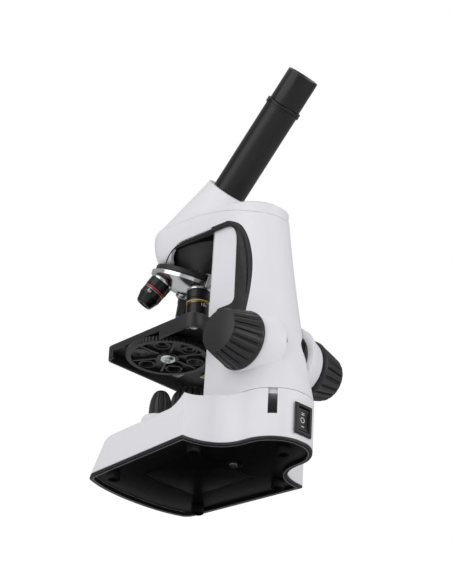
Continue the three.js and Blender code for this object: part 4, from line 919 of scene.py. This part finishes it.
def lamps_and_dimmer():
    tower = ribbed("illuminator_ribbed", [(28.3, 13.6, 0.8), (28.7, 14, 1.1), (34, 14, 1.2), (55, 14, 1.3), (57.5,
                                            13.9, 1.4),
                                          (59.5, 13.5, 1.5), (61.3, 12.7, 1.6), (62.8, 11.5, 1.5), (63.7, 10.4, 0.8),
                                          (64, 9.9, 0.1), (64.8, 9.6, 0), (64.8, 9.2, 0)], 20, standing(0, 0, 0), 0.2)
    cut(tower, spun("tower_bore", [(0, 20), (9.6, 20), (9.6, 60.6), (6.5, 60.8), (6.5, 63.4), (8.4, 66), (0, 66)],
                    at(0, 0, 0), 64))
    finished(tower, "stand", "knob_black_plastic", ["illuminator_housing"], 34)
    dimmer = ribbed("brightness_knob_ribbed", [(34.9, 6.6, 0.3), (35.3, 7.0, 0.5), (38, 7.3, 0.6), (42, 7.2, 0.6),
                                               (46, 6.6, 0.6), (49, 5.6, 0.55), (51, 4.6, 0.4), (52.3, 3.4,
                                                                                       0.2), (53, 2, 0.05),
                                               (53.1, 0.8, 0)], 14, standing(31.8, 4.2, 0), 0.22)
    cut(dimmer, rod("dimmer_socket", 3.35, 30, 44, at(31.8, 4.2, 0), 32))
    finished(dimmer, "brightness_knob", "knob_black_plastic", ["brightness_knob"], 36)
    tilt = math.radians(32)
    face = aim(spot(0, 34.8, 122), (0, math.cos(tilt), math.sin(tilt)))
    lamp = ribbed("incident_lamp_ribbed", [(0, 12.4, 0), (0.2, 12.9, 0), (1.5, 13, 0), (2.0, 12.7, 0.5), (2.4, 12.5,
                                            1),
                                           (8, 11.4, 1), (14, 10.1, 1), (20, 8.8, 0.9), (20.8, 8.5, 0.4), (21, 8.2,
                                                                                   0)], 18,
                  face @ Matrix.Scale(MM, 4), 0.24)
    cut(lamp, spun("lamp_bowl", [(0, -1), (11.8, -1), (11.6, 1), (4.5, 17), (0, 17)], face, 48))
    finished(lamp, "stand", "knob_black_plastic", ["incident_lamp_housing"], 34)


# ---------------------------------------------------------------- liner, stage and wheel
def black_liner():
    """The inner moulding of the arm, with the bright bead that runs along its band."""
    eased_copy("arm_liner", "grained_black_plastic", 0.4)
    for sign in (1, -1):
        path = [p for p in opening_edge(-3.2, 6) if p[1] > 106]
        half = 20.75
        count = 10
        rings = []
        for i, (y, z) in enumerate(path):
            ahead, behind = path[min(i + 1, len(path) - 1)], path[max(i - 1, 0)]
            run = Vector((0, ahead[0] - behind[0], ahead[1] - behind[1])).normalized()
            across_run = run.cross(Vector((1, 0, 0)))
            rings.append([spot(sign * half + 0.4 * math.cos(2 * math.pi * k / count),
                               y + 0.4 * math.sin(2 * math.pi * k / count) * across_run.y,
                               z + 0.4 * math.sin(2 * math.pi * k / count) * across_run.z) for k in range(count)])
        finished(loft("liner_bead_" + ("right" if sign > 0 else "left"), rings), "stand", "gloss_black_enamel")


def filter_wheel():
    cx, cy, z0 = 16.3, -8.1, 84.9
    reach, start = math.hypot(cx, cy), math.atan2(-cy, -cx)
    wheel = ribbed("filter_wheel_toothed", [(0, 26.9, 0.5), (0.25, 27.2, 0.7), (3.55, 27.2, 0.7), (3.8, 26.9, 0.5)],
                   72,
                   standing(cx, cy, z0), 0.3, 6)
    cut(wheel, spun("dish", [(7, -1), (23.8, -1), (23.8, 2.4), (7, 2.4), (7, -1)], at(cx, cy, z0), 96))
    for i in range(6):
        turn = start + math.pi / 3 * i
        x, y = cx + reach * math.cos(turn), cy + reach * math.sin(turn)
        fuse(wheel, spun("cup", [(0, 0.5), (5.3, 0.5), (5.6, 0.8), (5.6, 3.2), (0, 3.2)],
                         at(x, y, z0), 40))
        spoke = box_between("spoke", (cx + 4, cy - 0.8, z0 + 0.6), (cx + 24.6, cy + 0.8, z0 + 2.8))
        pick(spoke)
        bpy.ops.transform.rotate(value=turn + math.pi / 6, orient_axis="Z", center_override=spot(cx, cy, z0))
        bpy.ops.object.transform_apply(location=True, rotation=True, scale=True)
        fuse(wheel, spoke)
        r = 4.6 - 0.5 * i
        cut(wheel, spun("pocket", [(0, -1), (4.6, -1), (4.6, 1.4), (r, 1.5), (r, 6), (0, 6)],
                        at(x, y, z0), 40))
    cut(wheel, rod("wheel_bore", 2.25, -1, 9, at(cx, cy, z0), 32))
    finished(wheel, "filter_wheel", "satin_black_plastic", ["filter_wheel"], 34)


def rivet(name, x, y, z, r, finish, body="stage"):
    """A round rivet head with a sunk middle, seen from below."""
    head = [(0, 0.9), (r, 0.9), (r, 0.35), (r - 0.3, 0.05), (r - 0.6, 0), (r * 0.5, 0), (r * 0.4, 0.3), (0, 0.35)]
    finished(spun(name, head[::-1], at(x, y, z), 40), body, finish)


def stage_details():
    for i, (x, y, width, length, turn) in enumerate(((-14, -28, 5, 12, 12), (-27, -14, 5, 15, 12))):
        strip = box_between("leaf_spring_%d" % i, (x - width / 2, y - length / 2, 89.9), (x + width / 2,
                                                y + length / 2, 90.3))
        pick(strip)
        bpy.ops.transform.rotate(value=math.radians(turn), orient_axis="Z", center_override=spot(x, y, 90))
        bpy.ops.object.transform_apply(location=True, rotation=True, scale=True)
        ease_edges(strip, 0.08, 1)
        finished(strip, "stage", "brushed_steel_strip")
    for i, (x, y) in enumerate(((-14, -24.5), (-27, -19), (-28, -9))):
        rivet("spring_rivet_%d" % i, x, y, 89.2, 1.5, "turned_brass")
    for i, sign in enumerate((1, -1)):
        rivet("clip_rivet_%d" % i, sign * 36.5, 35.5, 86.2, 2.6, "zinc_plated_screw")
        boss = spun("clip_boss_%d" % i, [(0, 86.9), (3.3, 86.9), (3.5, 87.2), (3.5, 91.9), (0, 91.9)],
                    at(sign * 36.5, 35.5, 0), 40)
        finished(boss, "stage", "satin_black_plastic")


def switch_marks():
    for i, (z, y) in enumerate(((23.6, 97.3), (22.5, 97.22), (14.7, 97.28))):
        bar = box_between("switch_bar_%d" % i, (-1.3, y - 0.12, z - 0.24), (1.3, y + 0.1, z + 0.24))
        finished(bar, "rocker", "white_marking")
    finished(spun("switch_circle", [(1.3, -0.1), (1.8, -0.1), (1.8, 0.12), (1.3, 0.12), (1.3, -0.1)],
                  aim(spot(0, 97.0, 19), (0, 1, 0)), 40), "rocker", "white_marking")


# ---------------------------------------------------------------- focus knobs
def focus_knob(sign):
    """A conical knob: wide ribs between grooves, a smooth end face and a plain flange."""
    ribs, share = 20, 16
    stations = [(27.0, 18.4, 0), (27.3, 18.9, 0), (28.0, 19.3, 0), (29.2, 19.3, 0), (29.8, 19.15, 0.3),
                (30.4, 18.95, 1.0), (34, 18.1, 1.15), (38, 17.1, 1.15), (42, 16.1, 1.15), (46, 15.0, 1.15),
                (47.6, 14.5, 1.0), (48.4, 14.1, 0.5), (48.8, 13.8, 0.15), (49.0, 13.4, 0.0)]
    rings = []
    for x, radius, depth in stations:
        ring = []
        for i in range(ribs * share):
            place = (i % share) / share
            groove = min(1.0, max(0.0, 1 - abs(place - 0.5) / 0.17) * 1.7)
            crown = 0.25 * (math.cos(2 * math.pi * place) - 1)
            fine = 0.3 if (i // share) % 5 == 0 and (place < 0.3 or place > 0.7) and i % 2 else 0.0
            r = radius + crown * min(1, depth) - depth * groove - fine * min(1, depth)
            turn = 2 * math.pi * i / (ribs * share)
            ring.append(Vector((sign * x * MM, SHAFT.y + r * MM * math.cos(turn), SHAFT.z + r * MM * math.sin(turn))))
        rings.append(ring)
    side = "right" if sign > 0 else "left"
    place = aim(Vector((0, SHAFT.y, SHAFT.z)), (sign, 0, 0))
    obj = loft("focus_knob_%s_ribbed" % side, rings)
    cut(obj, rod("knob_bore", 2.8, 26, 44, place, 32),
        spun("knob_room", [(5.5, 26), (16, 26), (12, 45), (5.5, 45), (5.5, 26)], place, 48))
    return finished(obj, "focus_drive", "knob_black_plastic", ["focus_knob_" + side], 38)


# ---------------------------------------------------------------- settings
class MicroscopeColours(bpy.types.PropertyGroup):
    white_plastic: bpy.props.FloatVectorProperty(
        name="White plastic", description="Colour of the outer mouldings", subtype="COLOR",
        default=(0.86, 0.855, 0.89), min=0.0, max=1.0)
    black_plastic: bpy.props.FloatVectorProperty(
        name="Black plastic", description="Colour of the inner mouldings, the stage and the knobs", subtype="COLOR",
        default=(0.011, 0.011, 0.012), min=0.0, max=1.0)
    enamel: bpy.props.FloatVectorProperty(
        name="Black enamel", description="Colour of the tube and the objectives", subtype="COLOR",
        default=(0.002, 0.002, 0.0022), min=0.0, max=1.0)


# ---------------------------------------------------------------- operators
class MICROSCOPE_OT_white_mouldings(bpy.types.Operator):
    """Model the base, the arm and the head cover"""
    bl_idname = "microscope.white_mouldings"
    bl_label = "White mouldings"

    def execute(self, context):
        white_base()
        white_arm()
        white_head_cover()
        return {"FINISHED"}


class MICROSCOPE_OT_black_mouldings(bpy.types.Operator):
    """Model the bottom plate and the liner of the arm"""
    bl_idname = "microscope.black_mouldings"
    bl_label = "Black mouldings"

    def execute(self, context):
        black_bottom()
        black_liner()
        return {"FINISHED"}


class MICROSCOPE_OT_nosepiece(bpy.types.Operator):
    """Model the turret, its plate, the objectives and the funnel"""
    bl_idname = "microscope.nosepiece"
    bl_label = "Nosepiece"

    def execute(self, context):
        nosepiece()
        return {"FINISHED"}


class MICROSCOPE_OT_tube(bpy.types.Operator):
    """Model the tube and the eyepiece"""
    bl_idname = "microscope.tube"
    bl_label = "Tube and eyepiece"

    def execute(self, context):
        tube_and_eyepiece()
        return {"FINISHED"}


class MICROSCOPE_OT_controls(bpy.types.Operator):
    """Model the focus knobs, the lamps, the brightness knob and the marks on the switch"""
    bl_idname = "microscope.controls"
    bl_label = "Knobs, lamps and switch"

    def execute(self, context):
        focus_knob(1)
        focus_knob(-1)
        lamps_and_dimmer()
        switch_marks()
        return {"FINISHED"}


class MICROSCOPE_OT_stage_pieces(bpy.types.Operator):
    """Model the filter wheel and the small fixings of the stage"""
    bl_idname = "microscope.stage_pieces"
    bl_label = "Filter wheel and stage fixings"

    def execute(self, context):
        filter_wheel()
        stage_details()
        return {"FINISHED"}


class MICROSCOPE_OT_carried_pieces(bpy.types.Operator):
    """Round and finish the pieces whose frame shape is kept"""
    bl_idname = "microscope.carried_pieces"
    bl_label = "Carried pieces"

    def execute(self, context):
        for finish, width, nodes in CARRIED:
            for node in nodes:
                eased_copy(node, finish, width)
        for finish, nodes in HIDDEN:
            for node in nodes:
                obj = frame["nodes"][node]
                obj.data.materials.clear()
                obj.data.materials.append(FINISHES[finish]())
        return {"FINISHED"}


CARRIED = [
    ("satin_black_plastic", 0.5, ["battery_door", "stage_plate", "stage_carriage"]),
    ("satin_black_plastic", 0.3, ["power_switch_body", "power_switch_rocker"]),
    ("brushed_steel_strip", 0.15, ["turret_detent_spring", "turret_pivot_screw", "stage_clip_right",
                                   "stage_clip_left", "clip_screw_right", "clip_screw_left"]),
    ("zinc_plated_screw", 0.15, ["battery_door_screw", "filter_wheel_screw"]),
    ("foot_rubber", 0.3, ["foot_front_right", "foot_front_left", "foot_middle_right", "foot_middle_left",
                          "foot_rear"]),
]
HIDDEN = [
    ("turned_brass", ["wheel_detent_spring", "focus_pinion", "shaft_bush_right", "shaft_bush_left"]),
    ("brushed_steel_strip", ["focus_shaft", "guide_rod_right", "guide_rod_left", "brightness_potentiometer"]),
    ("satin_black_plastic", ["focus_rack"]),
    ("ground_glass_lens", ["illuminator_lens", "incident_lamp_lens", "eye_lens", "field_lens", "image_prism",
                           "objective_4x_lens", "objective_10x_lens", "objective_40x_lens"]),
    ("board_laminate", ["circuit_board"]),
    ("cell_jacket", ["battery_1", "battery_2", "battery_3"]),
    ("pale_lamp_plastic", ["illuminator_led"]),
]


def softbox(name, place, size, power, target):
    """A square lamp panel that faces a point."""
    data = bpy.data.lights.new(name, "AREA")
    data.shape, data.size, data.energy = "SQUARE", size, power
    lamp = bpy.data.objects.new(name, data)
    bpy.context.scene.collection.objects.link(lamp)
    lamp.location = place
    lamp.rotation_euler = (Vector(target) - Vector(place)).to_track_quat("-Z", "Y").to_euler()
    return lamp


class MICROSCOPE_OT_studio(bpy.types.Operator):
    """Set the floor, the lamps and the camera"""
    bl_idname = "microscope.studio"
    bl_label = "Studio"

    def execute(self, context):
        scene = context.scene
        bpy.ops.object.select_all(action="DESELECT")
        bpy.ops.mesh.primitive_plane_add(size=6, location=(0, 0, -0.0002))
        floor = context.active_object
        floor.name = "floor"
        bpy.ops.object.transform_apply(location=True)
        floor.data.materials.append(FINISHES["studio_floor"]())
        floor.visible_shadow = False

        world = bpy.data.worlds.new("studio")
        scene.world = world
        world.use_nodes = True
        tree = world.node_tree
        shade = tree.nodes["Background"]
        shade.inputs["Color"].default_value = (1, 1, 1, 1)
        shade.inputs["Strength"].default_value = 0.36
        bright = tree.nodes.new("ShaderNodeBackground")
        bright.inputs["Strength"].default_value = 1.0
        bright.inputs["Color"].default_value = (1, 1, 1, 1)
        path = tree.nodes.new("ShaderNodeLightPath")
        mix = tree.nodes.new("ShaderNodeMixShader")
        tree.links.new(path.outputs["Is Camera Ray"], mix.inputs[0])
        tree.links.new(shade.outputs[0], mix.inputs[1])
        tree.links.new(bright.outputs[0], mix.inputs[2])
        tree.links.new(mix.outputs[0], tree.nodes["World Output"].inputs["Surface"])

        centre = (0.0, 0.0, 0.13)
        softbox("right_panel", (1.0, 0.0, 0.5), 1.0, 4.4, centre)
        softbox("back_panel", (-0.3, 1.1, 0.35), 1.0, 5.0, centre)
        softbox("top_panel", (0.1, -0.1, 1.3), 1.2, 3.4, centre)
        softbox("low_panel", (0.7, 0.2, -0.7), 0.9, 1.2, centre)

        data = bpy.data.cameras.new("camera")
        data.sensor_fit = "AUTO"
        data.sensor_width = 36
        data.lens = 171.73
        data.clip_start, data.clip_end = 0.05, 20
        camera = bpy.data.objects.new("camera", data)
        scene.collection.objects.link(camera)
        azimuth, elevation, roll = math.radians(135.6), math.radians(-25.6), math.radians(2.6)
        back = Vector((math.sin(azimuth) * math.cos(elevation), -math.cos(azimuth) * math.cos(elevation),
                       math.sin(elevation)))
        camera.location = Vector((-0.0005, 0.00235, 0.128)) + back * 1.7892
        camera.rotation_euler = ((-back).to_track_quat("-Z", "Y").to_matrix()
                                 @ Matrix.Rotation(roll, 3, "Z")).to_euler()
        scene.camera = camera
        scene.view_settings.view_transform = "Standard"
        return {"FINISHED"}


class MICROSCOPE_PT_panel(bpy.types.Panel):
    """Colours and build steps of the microscope"""
    bl_label = "Microscope"
    bl_space_type = "VIEW_3D"
    bl_region_type = "UI"
    bl_category = "Microscope"

    def draw(self, context):
        for group in (context.scene.microscope_colours,):
            for key in group.__annotations__:
                self.layout.prop(group, key)
        for step in STEPS:
            self.layout.operator(step.bl_idname)


STEPS = [MICROSCOPE_OT_white_mouldings, MICROSCOPE_OT_black_mouldings, MICROSCOPE_OT_nosepiece,
         MICROSCOPE_OT_tube, MICROSCOPE_OT_controls, MICROSCOPE_OT_stage_pieces, MICROSCOPE_OT_carried_pieces,
         MICROSCOPE_OT_studio]
CLASSES = [MicroscopeColours, *STEPS, MICROSCOPE_PT_panel]


def register():
    for cls in CLASSES:
        bpy.utils.register_class(cls)
    bpy.types.Scene.microscope_colours = bpy.props.PointerProperty(type=MicroscopeColours)


def unregister():
    del bpy.types.Scene.microscope_colours
    for cls in reversed(CLASSES):
        bpy.utils.unregister_class(cls)


def main():
    register()
    for step in STEPS:
        group, name = step.bl_idname.split(".")
        getattr(getattr(bpy.ops, group), name)()


if __name__ == "__main__":
    main()
